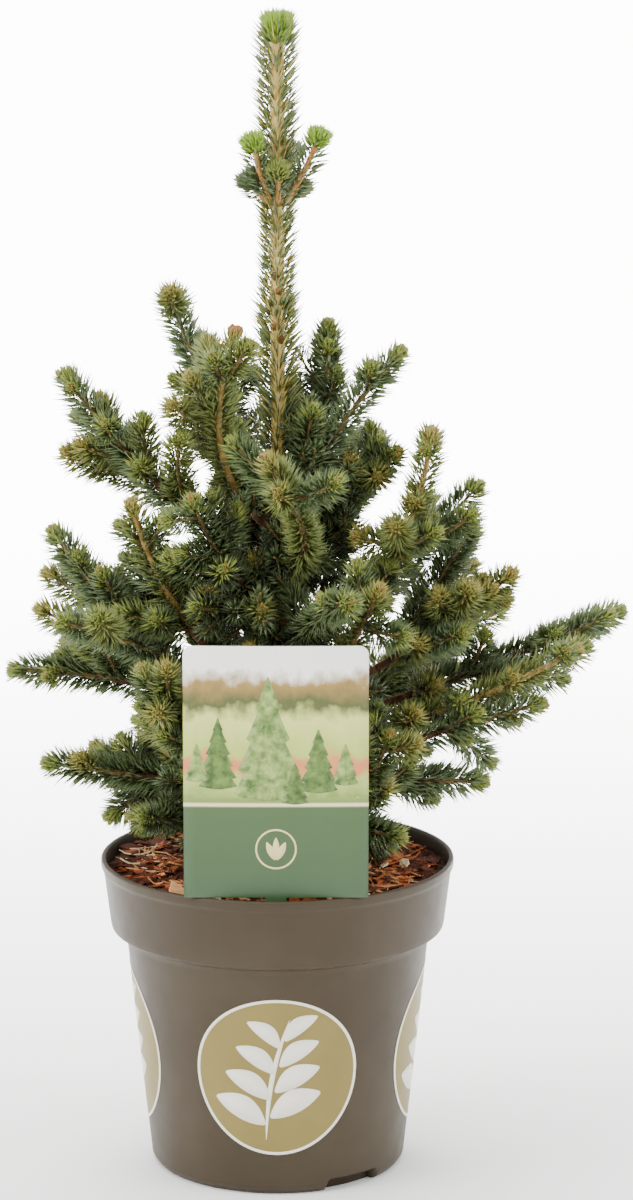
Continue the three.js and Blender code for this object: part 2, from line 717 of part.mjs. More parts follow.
// The mix fills the pot to its level, with lumps on top that fade at the trunk and the wall.
function buildMix() {
  const { wall, floor, heel, shoulder, collarFoot, rimRadius, height } = pot;
  const slope = (rimRadius - collarFoot.radius) / (height - collarFoot.height);
  const edge = collarFoot.radius + slope * (mix.level - collarFoot.height) - wall - GAP;
  const top = [0.85, 0.62, 0.4, 0.22].map((share) => {
    return [edge * share, mix.level + mix.swell * (1 - share) ** 0.5];
  });
  const body = turned(
    [
      [0, floor + GAP],
      [heel.radius - wall - 3, floor + GAP],
      [heel.radius - wall - GAP, heel.height + 3],
      [shoulder.radius - wall - GAP, shoulder.height + 1],
      [collarFoot.radius - wall - GAP, collarFoot.height + 2],
      [edge, mix.level],
      ...top,
      [0, mix.level + mix.swell],
    ],
    mix.facets,
  );
  const place = body.getAttribute("position");
  for (let i = 0; i < place.count; i++) {
    const out = Math.hypot(place.getX(i), place.getY(i)) / edge;
    if (place.getZ(i) < mix.level + 0.01 || out < 0.3) continue;
    const across = Math.sin(place.getX(i) * (6.3 / mix.lumpLength));
    const wave = across * Math.cos(place.getY(i) * (5.1 / mix.lumpLength));
    place.setZ(i, place.getZ(i) + mix.lump * wave);
  }
  const slot = new THREE.BoxGeometry(
    label.tongueWidth + 2 * GAP,
    label.thickness + 2 * GAP,
    2 * (label.tongueLength + GAP),
  );
  slot.translate(0, label.plane, pot.height);
  return solidOfGeometry(body).subtract(solidOfGeometry(slot));
}

// The label, drawn in its own plane and stood up on the rim.
function buildLabel() {
  const { width, height, corner, tongueWidth, tongueLength } = label;
  const half = width / 2;
  const outline = new THREE.Shape();
  outline.moveTo(-half, 0);
  outline.lineTo(-tongueWidth / 2, 0);
  outline.lineTo(-tongueWidth / 2, -tongueLength + 5);
  outline.lineTo(0, -tongueLength);
  outline.lineTo(tongueWidth / 2, -tongueLength + 5);
  outline.lineTo(tongueWidth / 2, 0);
  outline.lineTo(half, 0);
  outline.lineTo(half, height - corner);
  outline.absarc(half - corner, height - corner, corner, 0, Math.PI / 2, false);
  outline.lineTo(-half + corner, height);
  outline.absarc(-half + corner, height - corner, corner, Math.PI / 2, Math.PI, false);
  outline.lineTo(-half, 0);
  const card = new THREE.ExtrudeGeometry(outline, {
    depth: label.thickness,
    bevelEnabled: false,
    curveSegments: label.cornerSteps,
  });
  card.rotateX(Math.PI / 2).translate(0, label.plane + label.thickness / 2, pot.height + GAP);
  return solidOfGeometry(card);
}

// A bough's solid, from inside the trunk to the stem of its mass.
function boughSolid(curve, rootRadius) {
  const frames = stations(curve, evenly(bough.rings));
  const rings = frames.map((f) => {
    return ringAt(f, rootRadius + (bough.tipRadius - rootRadius) * f.at, bough.sides, 0);
  });
  return skin(rings, frames.at(-1).point);
}

// A limb's bough, if it has one, and the main shoot that goes on from it.
function framework([name, limb]) {
  const first = heading(limb.from);
  const last = heading(limb.to);
  const start = trunkAt(limb.height).point;
  if (!limb.bough) {
    const main = shootAlong(bend(start, first, last, limb.reach), limb.reach);
    return { name, limb, main, shoots: [main] };
  }
  const stemHeading = first.clone().add(last).normalize();
  const curve = bend(start, first, stemHeading, limb.bough);
  const stem = curve.getPoint(1).addScaledVector(stemHeading, GAP + 0.05);
  const radius = bough.tipRadius + bough.thickening * (limb.bough + limb.reach);
  const main = shootAlong(bend(stem, stemHeading, last, limb.reach), limb.reach);
  return { name, limb, main, shoots: [main], bough: { curve, radius, length: limb.bough } };
}

const masses = Object.entries(limbs).map(framework);
const topSleeve = sleeveAlong(leader.whorl, leader.tip);
const lowSleeve = sleeveAlong(leader.foot, leader.whorl - leader.gap);

// The trunk, the boughs and the main shoots claim their room first, and then the side shoots.
for (const z of evenly(90, trunk.foot, trunk.tip)) {
  claim([trunkAt(z).point], trunkAt(z).radius + bough.room, "trunk");
}
for (const { main, bough: limb } of masses) {
  claim(samplesOf(main.curve, main.length), rule.ownRoom, main);
  if (limb) claim(samplesOf(limb.curve, limb.length), limb.radius + bough.room, limb);
}
// The arms of all masses come before the pairs.
const draws = masses.map((_, index) => seededDraw(index + 1));
masses.forEach((mass, index) => {
  const arms = (mass.limb.arms ?? []).map((arm) => armOn(mass.main, arm));
  addShoots(mass, arms, draws[index]);
});
masses.forEach((mass, index) => addShoots(mass, pairHeadings(mass, draws[index]), draws[index]));
const whorlShoots = [];
for (const [length, bearing, rise] of whorl) {
  const ways = { first: heading([bearing, rise - 20]), last: heading([bearing, rise]) };
  keepIfRoom(sideShoot(topSleeve, { at: 0, ...ways, length }), whorlShoots);
}

// Every core is in its place before the first needle is tried.
evenly(20, trunk.foot, trunk.tip).reduce((low, high) => {
  take(trunkAt(low).point, trunkAt(high).point, trunkAt(low).radius, "trunk");
  return high;
});
for (const { bough: limb } of masses) {
  if (limb) take(limb.curve.getPoint(0), limb.curve.getPoint(1), limb.radius, limb);
}
for (const s of [...masses.flatMap((mass) => mass.shoots), ...whorlShoots]) {
  s.frames.slice(1).forEach((f, k) => take(s.frames[k].point, f.point, shoot.rootRadius, s));
}

const clearOfTrunk = trunkSolid(GAP + 0.08);

// A body cut clear of the trunk, without loose scraps.
function clearBody(solid) {
  return largestBody(solid.subtract(clearOfTrunk));
}

const leaderNeedle = { length: sleeve.needleLength, slant: sleeve.slant };
addMesh("pot", buildPot(), finish.pot);
addMesh("potting_mix", buildMix(), finish.mix);
addMesh("plant_label", buildLabel(), finish.label);
addMesh("trunk", trunkSolid(0), finish.bark);
addMesh("needles_leader_top", clearBody(bodyOf(topSleeve, leaderNeedle)), finish.leaderNeedles);
addMesh("needles_leader", clearBody(bodyOf(lowSleeve, leaderNeedle)), finish.leaderNeedles);
for (const { name, bough: limb } of masses.filter((mass) => mass.bough)) {
  addMesh(`bough_${name}`, clearBody(boughSolid(limb.curve, limb.radius)), finish.bark);
}
for (const { name, main } of masses) {
  addMesh(`needles_${name}`, clearBody(bodyOf(main, needle)), finish.needles);
}

export default model;
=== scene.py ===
# %% [markdown]
# # A dwarf spruce in its nursery pot
#
# The plant is a young dwarf spruce: a straight bare leader over a broad, uneven crown of short
# needled shoots. It stands in a taupe plastic pot of bark mix, with a plain plant label on the rim.
# The solids of the plant are loaded first, as a fixed frame in metres. Everything that is made here
# goes where those solids are, and stands for some of them.

# %% Load the solids
import json
import math

import bpy
import numpy as np
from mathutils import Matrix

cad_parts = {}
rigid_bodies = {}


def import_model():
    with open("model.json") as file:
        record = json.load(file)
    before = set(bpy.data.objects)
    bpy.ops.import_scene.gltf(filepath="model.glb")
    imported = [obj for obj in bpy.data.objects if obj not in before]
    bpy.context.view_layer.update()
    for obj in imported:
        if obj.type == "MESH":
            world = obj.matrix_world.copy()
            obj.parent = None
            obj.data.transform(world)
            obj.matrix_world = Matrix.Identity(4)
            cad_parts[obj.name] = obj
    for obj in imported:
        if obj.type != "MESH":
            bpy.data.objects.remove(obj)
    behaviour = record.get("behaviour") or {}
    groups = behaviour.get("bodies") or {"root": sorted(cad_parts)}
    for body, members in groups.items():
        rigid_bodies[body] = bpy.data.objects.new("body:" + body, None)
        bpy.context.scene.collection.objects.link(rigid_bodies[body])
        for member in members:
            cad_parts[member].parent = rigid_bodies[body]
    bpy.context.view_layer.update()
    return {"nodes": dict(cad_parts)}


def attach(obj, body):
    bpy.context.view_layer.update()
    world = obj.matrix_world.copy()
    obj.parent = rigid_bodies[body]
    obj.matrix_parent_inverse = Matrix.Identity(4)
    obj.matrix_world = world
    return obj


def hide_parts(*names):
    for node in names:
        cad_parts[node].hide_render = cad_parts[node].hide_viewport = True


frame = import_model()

node_names = sorted(frame["nodes"])

# %% [markdown]
# ## Numbers into meshes
#
# A shape is worked out as whole arrays of points in millimetres, and one helper turns the arrays
# into a Blender mesh. `foreach_set` copies an array in one go, which is far quicker than adding
# vertices one by one.

# %% A mesh from arrays
MM = 0.001
X_AXIS, UP = np.array([1.0, 0.0, 0.0]), np.array([0.0, 0.0, 1.0])


def unit(v):
    """Each vector divided by its own length."""
    return v / np.maximum(np.linalg.norm(v, axis=-1, keepdims=True), 1e-12)


def swing(a, b, angle):
    """The vectors a cos t + b sin t, which turn from a towards b by each angle t."""
    return a * np.cos(angle)[..., None] + b * np.sin(angle)[..., None]


def around(columns):
    """So many angles, evenly round a full turn."""
    return np.arange(columns) * 2 * np.pi / columns


def make_piece(name, points, faces, material, nodes, uv=None, smooth=True):
    """One mesh from points in millimetres and arrays of faces, whose rows are corner numbers. Where
    uv is given, it holds each point's place on the material's pattern."""
    faces = faces if isinstance(faces, list) else [faces]
    corners = np.concatenate([f.ravel() for f in faces]).astype(np.int32)
    widths = np.concatenate([np.full(len(f), f.shape[1]) for f in faces])
    starts = (np.cumsum(widths) - widths).astype(np.int32)
    mesh = bpy.data.meshes.new(name)
    mesh.vertices.add(points.size // 3)
    mesh.vertices.foreach_set("co", (points * MM).astype(np.float32).ravel())
    mesh.loops.add(len(corners))
    mesh.loops.foreach_set("vertex_index", corners)
    mesh.polygons.add(len(starts))
    mesh.polygons.foreach_set("loop_start", starts)
    mesh.materials.append(material)
    if uv is not None:
        layer = mesh.uv_layers.new(name="UVMap")
        layer.data.foreach_set("uv", uv.reshape(-1, 2).astype(np.float32)[corners].ravel())
    mesh.update(calc_edges=True)
    mesh.polygons.foreach_set("use_smooth", np.full(len(starts), smooth))
    mesh.validate()
    piece = bpy.data.objects.new(name, mesh)
    bpy.context.scene.collection.objects.link(piece)
    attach(piece, "root")
    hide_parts(*nodes)
    return piece


def grid_faces(rows, columns):
    """The four-cornered faces between neighbouring rows of a grid of points that goes all the way
    round: the last column joins the first."""
    low = np.arange(rows - 1)[:, None] * columns
    here = np.arange(columns)
    after = (here + 1) % columns
    return np.stack(
        [low + here, low + after, low + columns + after, low + columns + here], axis=-1
    ).reshape(-1, 4)


def make_sheet(name, front, back, material, nodes, uv=None):
    """A thin closed sheet between two grids of points, with its edges and both its ends shut."""
    rows, columns = front.shape[:2]
    inner, width = np.arange(columns - 1), 2 * columns
    low = np.stack([inner, width - 1 - inner, width - 2 - inner, inner + 1], -1)
    faces = [grid_faces(rows, width), low, low[:, ::-1] + (rows - 1) * width]
    points = np.concatenate([front, back[:, ::-1]], axis=1)
    return make_piece(name, points, faces, material, nodes, uv)


def turned_points(profile, columns):
    """A profile of radius and height carried round the Z axis: x = r cos a, y = r sin a, z = h."""
    angle = around(columns)
    r, h = np.asarray(profile, dtype=float).T
    return np.stack(
        [r[:, None] * np.cos(angle), r[:, None] * np.sin(angle), np.repeat(h[:, None], columns, 1)], -1
    )


def tube_points(curve, radius, sides):
    """Rings round a line of points, for many lines at once: p + r (u cos a + v sin a), where u and
    v stand square to the line. The curve has the shape lines x rows x 3."""
    along = unit(np.gradient(curve, axis=-2))
    u = unit(np.cross(np.where(np.abs(along[..., 2:3]) > 0.93, X_AXIS, UP), along))
    v = np.cross(along, u)
    r = np.broadcast_to(np.asarray(radius), curve.shape[:-1])[..., None, None]
    return curve[..., None, :] + r * swing(u[..., None, :], v[..., None, :], around(sides))


def tube_faces(lines, rows, sides):
    """The faces of all the tubes, and a cap at both ends of each."""
    base = (np.arange(lines) * rows * sides)[:, None]
    walls = (base[:, :, None] + grid_faces(rows, sides)).reshape(-1, 4)
    ring = np.arange(sides)
    return [walls, base + ring[::-1], base + ring + (rows - 1) * sides]


def make_tubes(name, curve, radius, sides, finish, nodes, rough=None):
    """Tubes round many lines as one piece. Rough gives the amount and the size of their relief."""
    points = tube_points(curve, radius, sides)
    if rough:
        points = relief(points, curve[..., None, :], *rough)
    return make_piece(name, points, tube_faces(*curve.shape[:2], sides), finish, nodes)


print("helpers ready")

# %% [markdown]
# ## Noise
#
# Real surfaces are never quite even. Value noise gives each corner of a lattice a seeded number and
# blends smoothly between the corners, so the same place has the same height each time. Relief is
# this noise as a share of the distance from a middle line.

# %% Smooth noise on arrays
lattice = np.random.default_rng(11).uniform(-1, 1, 8192)
primes = (73856093, 19349663, 83492791)


def smooth_noise(points, size):
    """The value at each point is blended from the eight corners of its lattice cell, with the
    weights 3t^2 - 2t^3 along each axis."""
    cell = np.floor(points / size).astype(np.int64)
    t = points / size - cell
    t = t * t * (3 - 2 * t)
    total = np.zeros(points.shape[:-1])
    for corner in np.ndindex(2, 2, 2):
        place = cell + corner
        mixed = np.bitwise_xor.reduce(place * primes, axis=-1)
        weight = np.prod(np.where(corner, t, 1 - t), axis=-1)
        total += weight * lattice[mixed & (len(lattice) - 1)]
    return total


def relief(points, middle, amount, size):
    """Moves each point away from its middle line by a share of noise, which is drawn out upwards."""
    rough = smooth_noise(points * [1, 1, 0.6], size) + 0.5 * smooth_noise(points + 70, size / 2)
    return middle + (points - middle) * (1 + amount * rough)[..., None]


print("noise at the origin", round(float(smooth_noise(np.zeros((1, 3)), 5.0)[0]), 3))

# %% [markdown]
# ## The camera
#
# The photograph was taken from about 2.5 m away with a long lens, a little above the pot, looking
# down by twelve degrees. A long lens keeps the pot's sides nearly parallel, so the same distance
# and the same lens are used here, and not only the same direction.

# %% Camera
view = {
    "aim": (21.0, 0.0, 309.0), "distance": 2500.0, "pitch": 12.2, "lens": 141.0, "sensor": 36.0,
    "clip": (0.1, 100.0),
}
pitch = math.radians(view["pitch"])
camera = bpy.data.objects.new("camera", bpy.data.cameras.new("camera"))
camera.data.lens, camera.data.sensor_width = view["lens"], view["sensor"]
camera.data.clip_start, camera.data.clip_end = view["clip"]
away = view["distance"] * np.array([0.0, -math.cos(pitch), math.sin(pitch)])
camera.location = (np.array(view["aim"]) + away) * MM
camera.rotation_euler = (math.radians(90) - pitch, 0.0, 0.0)
bpy.context.scene.collection.objects.link(camera)
bpy.context.scene.camera = camera
print("camera at", tuple(round(v, 3) for v in camera.location))

# %% [markdown]
# ## Finishes
#
# Each finish is a small tree of nodes. A noise on the object's own coordinates is run through a
# ramp of near colours, and a finer noise lifts the surface as bump. Both are measured in metres, so
# the grain has its real size, and both move with the piece.

# %% Helpers for finishes
sheen = {"scale": 90.0, "detail": 2.0, "wander": 0.1}
mottle = {"detail": 7.0, "ends": (0.3, 0.7), "fine_detail": 5.0, "strength": 0.6}


def tone(red, green, blue):
    """The linear colour of a screen colour from 0 to 255: ((c + 0.055) / 1.055) ^ 2.4."""
    c = np.array([red, green, blue]) / 255
    return (*np.where(c <= 0.04045, c / 12.92, ((c + 0.055) / 1.055) ** 2.4), 1.0)


def add_node(tree, kind, inputs=None, **settings):
    """A node of a kind, with its settings, and with a value or a link for each named input."""
    node = tree.nodes.new(kind)
    for key, value in settings.items():
        setattr(node, key, value)
    for key, value in (inputs or {}).items():
        if isinstance(value, bpy.types.NodeSocket):
            tree.links.new(value, node.inputs[key])
        else:
            node.inputs[key].default_value = value
    return node


def color_ramp(tree, value, stops):
    """The colour that a value picks between the stops, each a place from 0 to 1 and a screen colour."""
    ramp = add_node(tree, "ShaderNodeValToRGB", {"Fac": value})
    elements = ramp.color_ramp.elements
    for at, color in stops:
        elements.new(float(at)).color = tone(*color)
    elements.remove(elements[0])
    elements.remove(elements[-1])
    return ramp.outputs["Color"]


def plain_finish(name, color, roughness, specular=0.4):
    """A finish of one base colour whose roughness wanders a little with noise."""
    material = bpy.data.materials.new(name)
    material.use_nodes = True
    tree = material.node_tree
    shader = tree.nodes["Principled BSDF"]
    shader.inputs["Base Color"].default_value = tone(*color)
    shader.inputs["Specular IOR Level"].default_value = specular
    place = add_node(tree, "ShaderNodeTexCoord").outputs["Object"]
    noise = {"Vector": place, "Scale": sheen["scale"], "Detail": sheen["detail"]}
    value = add_node(tree, "ShaderNodeTexNoise", noise).outputs["Fac"]
    least, most = roughness - sheen["wander"], roughness + sheen["wander"]
    spread = add_node(tree, "ShaderNodeMapRange", {"Value": value, "To Min": least, "To Max": most})
    tree.links.new(spread.outputs["Result"], shader.inputs["Roughness"])
    return material


def mottled_finish(name, colors, scale, roughness, grain, depth, stretch=(1, 1, 1), specular=0.4):
    """A plain finish with two noises more: one of this scale runs through the colours, and a finer
    one, the grain, lifts the surface by up to this depth in metres."""
    material = plain_finish(name, colors[0], roughness, specular)
    tree = material.node_tree
    shader = tree.nodes["Principled BSDF"]
    place = add_node(tree, "ShaderNodeTexCoord").outputs["Object"]
    place = add_node(tree, "ShaderNodeMapping", {"Vector": place, "Scale": stretch}).outputs["Vector"]
    noise = {"Vector": place, "Scale": scale, "Detail": mottle["detail"]}
    broad = add_node(tree, "ShaderNodeTexNoise", noise).outputs["Fac"]
    stops = zip(np.linspace(*mottle["ends"], len(colors)), colors)
    tree.links.new(color_ramp(tree, broad, stops), shader.inputs["Base Color"])
    noise = {"Vector": place, "Scale": grain, "Detail": mottle["fine_detail"]}
    height = add_node(tree, "ShaderNodeTexNoise", noise).outputs["Fac"]
    lift = {"Height": height, "Strength": mottle["strength"], "Distance": depth}
    bump = add_node(tree, "ShaderNodeBump", lift)
    tree.links.new(bump.outputs["Normal"], shader.inputs["Normal"])
    return material


def print_finish(name, colors, scale=40.0, roughness=0.45, grain=2600.0, depth=0.00004):
    """Smooth ink on plastic, in two near colours."""
    return mottled_finish(name, colors, scale, roughness, grain, depth)


print("finish helpers ready")

# %% [markdown]
# ## The pot
#
# A nursery pot is thin moulded plastic: a tapered wall, a soft step out to a broad collar, and a
# thicker lip. Its section is a list of corners, and each corner is rounded by a small curve before
# the section is carried round. The drain notches at the heel are made by lifting the lowest rows of
# points between two bearings.

# %% The pot's section
pot = {
    "height": 169.0, "wall": 1.6, "floor": 2.5, "foot": 65.5, "heel": (68.4, 4.0),
    "shoulder": (81.3, 125.0), "collar": (89.3, 131.0), "rim": 95.0,
}
drain = {"bearings": (307.0, 127.0), "half_angle": 14.0, "depth": 7.0, "height": 7.2, "roof": 1.4}
notch_back = pot["heel"][0] - drain["depth"]


def rounded_corners(corners, size, steps=4):
    """Each inner corner c of a profile becomes the curve (1-t)^2 a + 2t(1-t) c + t^2 b between the
    points a and b on its two sides, which lie this far from it, or a third of a short side."""
    p = np.asarray(corners, dtype=float)
    before, here, after = p[:-2], p[1:-1], p[2:]
    reach_a = np.minimum(size, np.linalg.norm(before - here, axis=1) / 3)[:, None]
    reach_b = np.minimum(size, np.linalg.norm(after - here, axis=1) / 3)[:, None]
    a = (here + unit(before - here) * reach_a)[:, None]
    b = (here + unit(after - here) * reach_b)[:, None]
    t = np.linspace(0, 1, steps + 1)[None, :, None]
    curve = (1 - t) ** 2 * a + 2 * t * (1 - t) * here[:, None] + t**2 * b
    return np.concatenate([p[:1], curve.reshape(-1, 2), p[-1:]])


def pot_section():
    """The outside from the middle of the underside up to the lip, and then down the inside. The
    wall is set in from the outer heel, shoulder and collar by its thickness."""
    wall, top, rim = pot["wall"], pot["height"], pot["rim"]
    heel, shoulder, collar = pot["heel"][0], pot["shoulder"][0], pot["collar"][0]
    outside = [
        (0.01, 0.0), (notch_back, 0.0), (notch_back + 0.4, 0.0), (pot["foot"], 0.0), pot["heel"],
        (heel + 0.3, 7.0), pot["shoulder"], (shoulder + 1.4, 128.2), pot["collar"],
        (collar + 0.7, 134.5), (rim - 1.5, top - 6.5), (rim - 0.2, top - 4.6), (rim, top - 1.0),
        (rim - 0.8, top),
    ]
    inside = [
        (rim - wall - 0.9, top), (rim - wall - 1.5, top - 2.0), (collar - wall, 132.0),
        (shoulder - wall, 126.0), (heel - wall, 5.0), (pot["foot"] - 2.0, pot["floor"]),
        (0.01, pot["floor"]),
    ]
    return rounded_corners(outside + inside, 1.3)


section = pot_section()
print(len(section), "points in the pot's section")

# %% The pot's mesh
def pot_points(columns):
    """The turned section. Between the drain bearings each point that is lower than the notch's roof
    and further out than its back is lifted to the roof, and the inner floor with it."""
    points = turned_points(section, columns)
    bearing = np.degrees(np.arctan2(points[..., 1], points[..., 0])) % 360
    radius = np.hypot(points[..., 0], points[..., 1])
    outer = np.arange(len(section))[:, None] < len(section) // 2
    roof = np.where(outer, drain["height"], drain["height"] + drain["roof"])
    for middle in drain["bearings"]:
        off = np.abs((bearing - middle + 180) % 360 - 180)
        inside = (off < drain["half_angle"]) & (radius > notch_back + 0.05)
        points[..., 2] = np.where(inside, np.maximum(points[..., 2], roof), points[..., 2])
    return points


pot_colors = [(54, 45, 30), (58, 48, 33), (63, 54, 38)]
pot_finish = mottled_finish("taupe_plastic", pot_colors, 16.0, 0.45, 2600.0, 0.00006, specular=0.25)
columns = 160
pot_piece = make_piece(
    "pot_shell", pot_points(columns), grid_faces(len(section), columns), pot_finish, ["pot"]
)
print("pot of", len(pot_piece.data.polygons), "faces")

# %% [markdown]
# ## The round badges on the pot
#
# Four printed discs stand round the wall, a quarter turn apart. Each is a thin patch that is worked
# out in its own flat coordinates and then laid on the tapered wall. The print is generic: an olive
# ground, a pale rim line and a plain leafy sprig.

# %% Laying flat shapes on the wall
badge = {
    "bearings": (270.0, 0.0, 90.0, 180.0), "height": 67.5, "radius": 43.8, "rim": (42.6, 44.2),
}


def wall_radius(height):
    """The wall's outer radius at a height, in proportion between the heel and the shoulder."""
    (r0, h0), (r1, h1) = pot["heel"], pot["shoulder"]
    return r0 + (r1 - r0) * (height - h0) / (h1 - h0)


def on_wall(flat, bearing, lift):
    """A flat point (x, y) goes to the bearing plus x over the middle radius, and to its height."""
    height = badge["height"] + flat[..., 1]
    angle = math.radians(bearing) + flat[..., 0] / wall_radius(badge["height"])
    r = wall_radius(height) + lift
    return np.stack([r * np.cos(angle), r * np.sin(angle), height], -1)


def patch(name, flat, bearing, lift, material, depth=0.2):
    """A closed patch over a flat grid of rows that run across it: its front lies at the lift, and
    its back is this depth further in."""
    front, back = on_wall(flat, bearing, lift), on_wall(flat, bearing, lift - depth)
    return make_sheet(name, front, back, material, ())


def disc_grid(radius, rows=40, columns=40):
    """Rows across a disc: at y = -r cos(pi v), x runs between -/+ sqrt(r^2 - y^2)."""
    y = -radius * np.cos(np.pi * np.linspace(0.01, 0.99, rows))
    x = np.sqrt(radius**2 - y**2)[:, None] * np.linspace(-1, 1, columns)
    return np.stack([x, np.repeat(y[:, None], columns, 1)], -1)


def ring_grid(inner, outer, steps=120):
    """A ring as rows of two points, at the inner and the outer radius, all the way round."""
    a = np.linspace(0, 2 * np.pi, steps)[:, None]
    r = np.array([outer, inner])[None, :]
    return np.stack([r * np.cos(a), r * np.sin(a)], -1)


print("badge radius", badge["radius"])

# %% The badges' print
def leaf_grid(foot, tip, width, bow, rows=14):
    """A leaf from its foot to its tip: half its width is w sin(pi v)^0.8, and its middle line bows
    sideways by b sin(pi v)."""
    foot, tip = np.array(foot, dtype=float), np.array(tip, dtype=float)
    v = np.linspace(0.02, 0.98, rows)[:, None, None]
    across = np.array([-(tip - foot)[1], (tip - foot)[0]]) / np.linalg.norm(tip - foot)
    side = np.array([1.0, -1.0])[None, :, None]
    middle = foot + (tip - foot) * v + across * bow * np.sin(np.pi * v)
    return middle + across * side * width / 2 * np.sin(np.pi * v) ** 0.8


ground_print = print_finish("olive_print", [(120, 105, 48), (128, 113, 56)])
pale_print = print_finish("pale_print", [(226, 222, 205), (234, 230, 214)])
leaf_pairs, leaf_step, stalk_lean = 4, 14.5, 0.18
sprig = [((-6, -37), (7, 34), 2.6, 3.0)]
for step in range(leaf_pairs):
    y = -27 + leaf_step * step
    x, size, width = stalk_lean * y, 28 - 3.6 * step, 13.5 - 1.6 * step
    sprig.append(((x - 1, y), (x - 1 - size, y + 15), width, -2.5))
    sprig.append(((x + 1, y + 4), (x + 1 + size, y + 18), width, 2.5))
for number, bearing in enumerate(badge["bearings"]):
    patch(f"badge_{number}_ground", disc_grid(badge["radius"]), bearing, 0.12, ground_print)
    patch(f"badge_{number}_rim", ring_grid(*badge["rim"]), bearing, 0.2, pale_print)
    for leaf, stroke in enumerate(sprig):
        lift = 0.2 + 0.01 * leaf
        patch(f"badge_{number}_leaf_{leaf}", leaf_grid(*stroke), bearing, lift, pale_print)
print(len(badge["bearings"]), "badges with", len(sprig), "strokes each")

# %% [markdown]
# ## The potting mix
#
# The mix is coarse bark and peat. Its ground is a bumpy surface made with noise, and on it lie
# loose chips and fibres. The chips are made all at once: a random size, place and turn for each, in
# arrays, and the same few faces for all.

# %% The ground of the mix
mix = {"level": 161.0, "swell": 3.0, "gap": 0.5, "lumps": ((2.1, 13.0), (1.1, 4.5)), "calm": 0.985}
up_collar = (mix["level"] - pot["collar"][1]) / (pot["height"] - pot["collar"][1])
mix_edge = pot["collar"][0] + (pot["rim"] - pot["collar"][0]) * up_collar - pot["wall"] - mix["gap"]


def mix_height(x, y):
    """The level, plus a swell towards the trunk, plus two sizes of noise up to a calm edge."""
    out = np.hypot(x, y) / mix_edge
    place = np.stack([x, y, np.zeros_like(x)], -1)
    (broad, broad_size), (small, small_size) = mix["lumps"]
    lumps = broad * smooth_noise(place, broad_size) + small * smooth_noise(place + 40, small_size)
    swell = mix["swell"] * np.sqrt(np.maximum(0, 1 - out))
    return mix["level"] + swell + lumps * (out < mix["calm"])


rings, columns = 70, 180
top = turned_points(np.stack([mix_edge * np.linspace(1, 0.004, rings), np.zeros(rings)], -1), columns)
top[..., 2] = mix_height(top[..., 0], top[..., 1])
side = [
    (0.01, 3.2), (60.6, 3.2), (60.9, 9.1), (66.5, 9.5), (79.2, 125.5), (87.2, 133.0),
    (mix_edge, mix["level"] - 2),
]
shell = np.concatenate([turned_points(side, columns), top])
peat_colors = [(34, 15, 7), (64, 31, 15), (104, 58, 32)]
peat = mottled_finish("bark_and_peat", peat_colors, 260.0, 0.85, 900.0, 0.0012, specular=0.25)
make_piece("mix_ground", shell, grid_faces(len(shell), columns), peat, ["potting_mix"])
print("mix ground of radius", round(mix_edge, 1))

# %% Chips and fibres
flake = {
    "margin": 6.0, "slim": (0.28, 0.6), "thick": (0.6, 1.5), "uneven": (0.75, 1.15), "shift": 0.3,
    "tilt": 0.55, "shrink": (0.9, 0.9, 1.0),
}
strand = {
    "margin": 16.0, "half": (6.0, 17.0), "turn": 0.7, "lift": 1.2, "spring": 2.4, "radius": (0.3, 0.75),
    "stations": 7, "sides": 4,
}


def held_in(x, y, reach):
    """The same places, with any that lie out past the reach drawn back to it."""
    inside = np.minimum(1, reach / np.maximum(np.hypot(x, y), 1))
    return x * inside, y * inside


def scattered(rng, count, margin, spot, spread=9.0):
    """Places spread evenly over the mix, or crowded round one spot, and never past its edge."""
    if spot:
        x, y = np.array(spot)[:, None] + rng.normal(0, spread, (2, count))
    else:
        spin, out = rng.uniform(0, 2 * np.pi, count), np.sqrt(rng.uniform(0.02, 1, count))
        x, y = (mix_edge - margin) * out * np.array([np.cos(spin), np.sin(spin)])
    return held_in(x, y, mix_edge - margin)


def chips(name, count, seed, length, finish, proud, spot=None):
    """Flat six-sided flakes. Each outline is an ellipse with uneven corners, tilted and turned at
    random, whose middle lies up to proud over the ground below it."""
    rng = np.random.default_rng(seed)
    x, y = scattered(rng, count, flake["margin"], spot)
    z = mix_height(x, y) + rng.uniform(0, proud, count)
    long = rng.uniform(*length, count)[:, None] / 2
    slim = long * rng.uniform(*flake["slim"], count)[:, None]
    corner = around(6) + rng.uniform(-flake["shift"], flake["shift"], (count, 6))
    uneven = rng.uniform(*flake["uneven"], (count, 6))
    flat = np.stack([long * np.cos(corner) * uneven, slim * np.sin(corner) * uneven, 0 * corner], -1)
    thick = rng.uniform(*flake["thick"], count)[:, None, None] * UP
    body = np.concatenate([flat - thick / 2, flat * flake["shrink"] + thick / 2], axis=1)
    yaw = rng.uniform(0, 2 * np.pi, count)
    tip = rng.uniform(-flake["tilt"], flake["tilt"], (2, count))
    a = unit(np.stack([np.cos(yaw), np.sin(yaw), np.sin(tip[0])], -1))
    b = np.stack([-np.sin(yaw), np.cos(yaw), np.sin(tip[1])], -1)
    c = unit(np.cross(a, b))
    basis = np.stack([a, np.cross(c, a), c], 1)
    points = np.einsum("nki,nij->nkj", body, basis) + np.stack([x, y, z], -1)[:, None]
    faces = tube_faces(count, 2, 6)
    return make_piece(name, points, faces, finish, (), smooth=False)


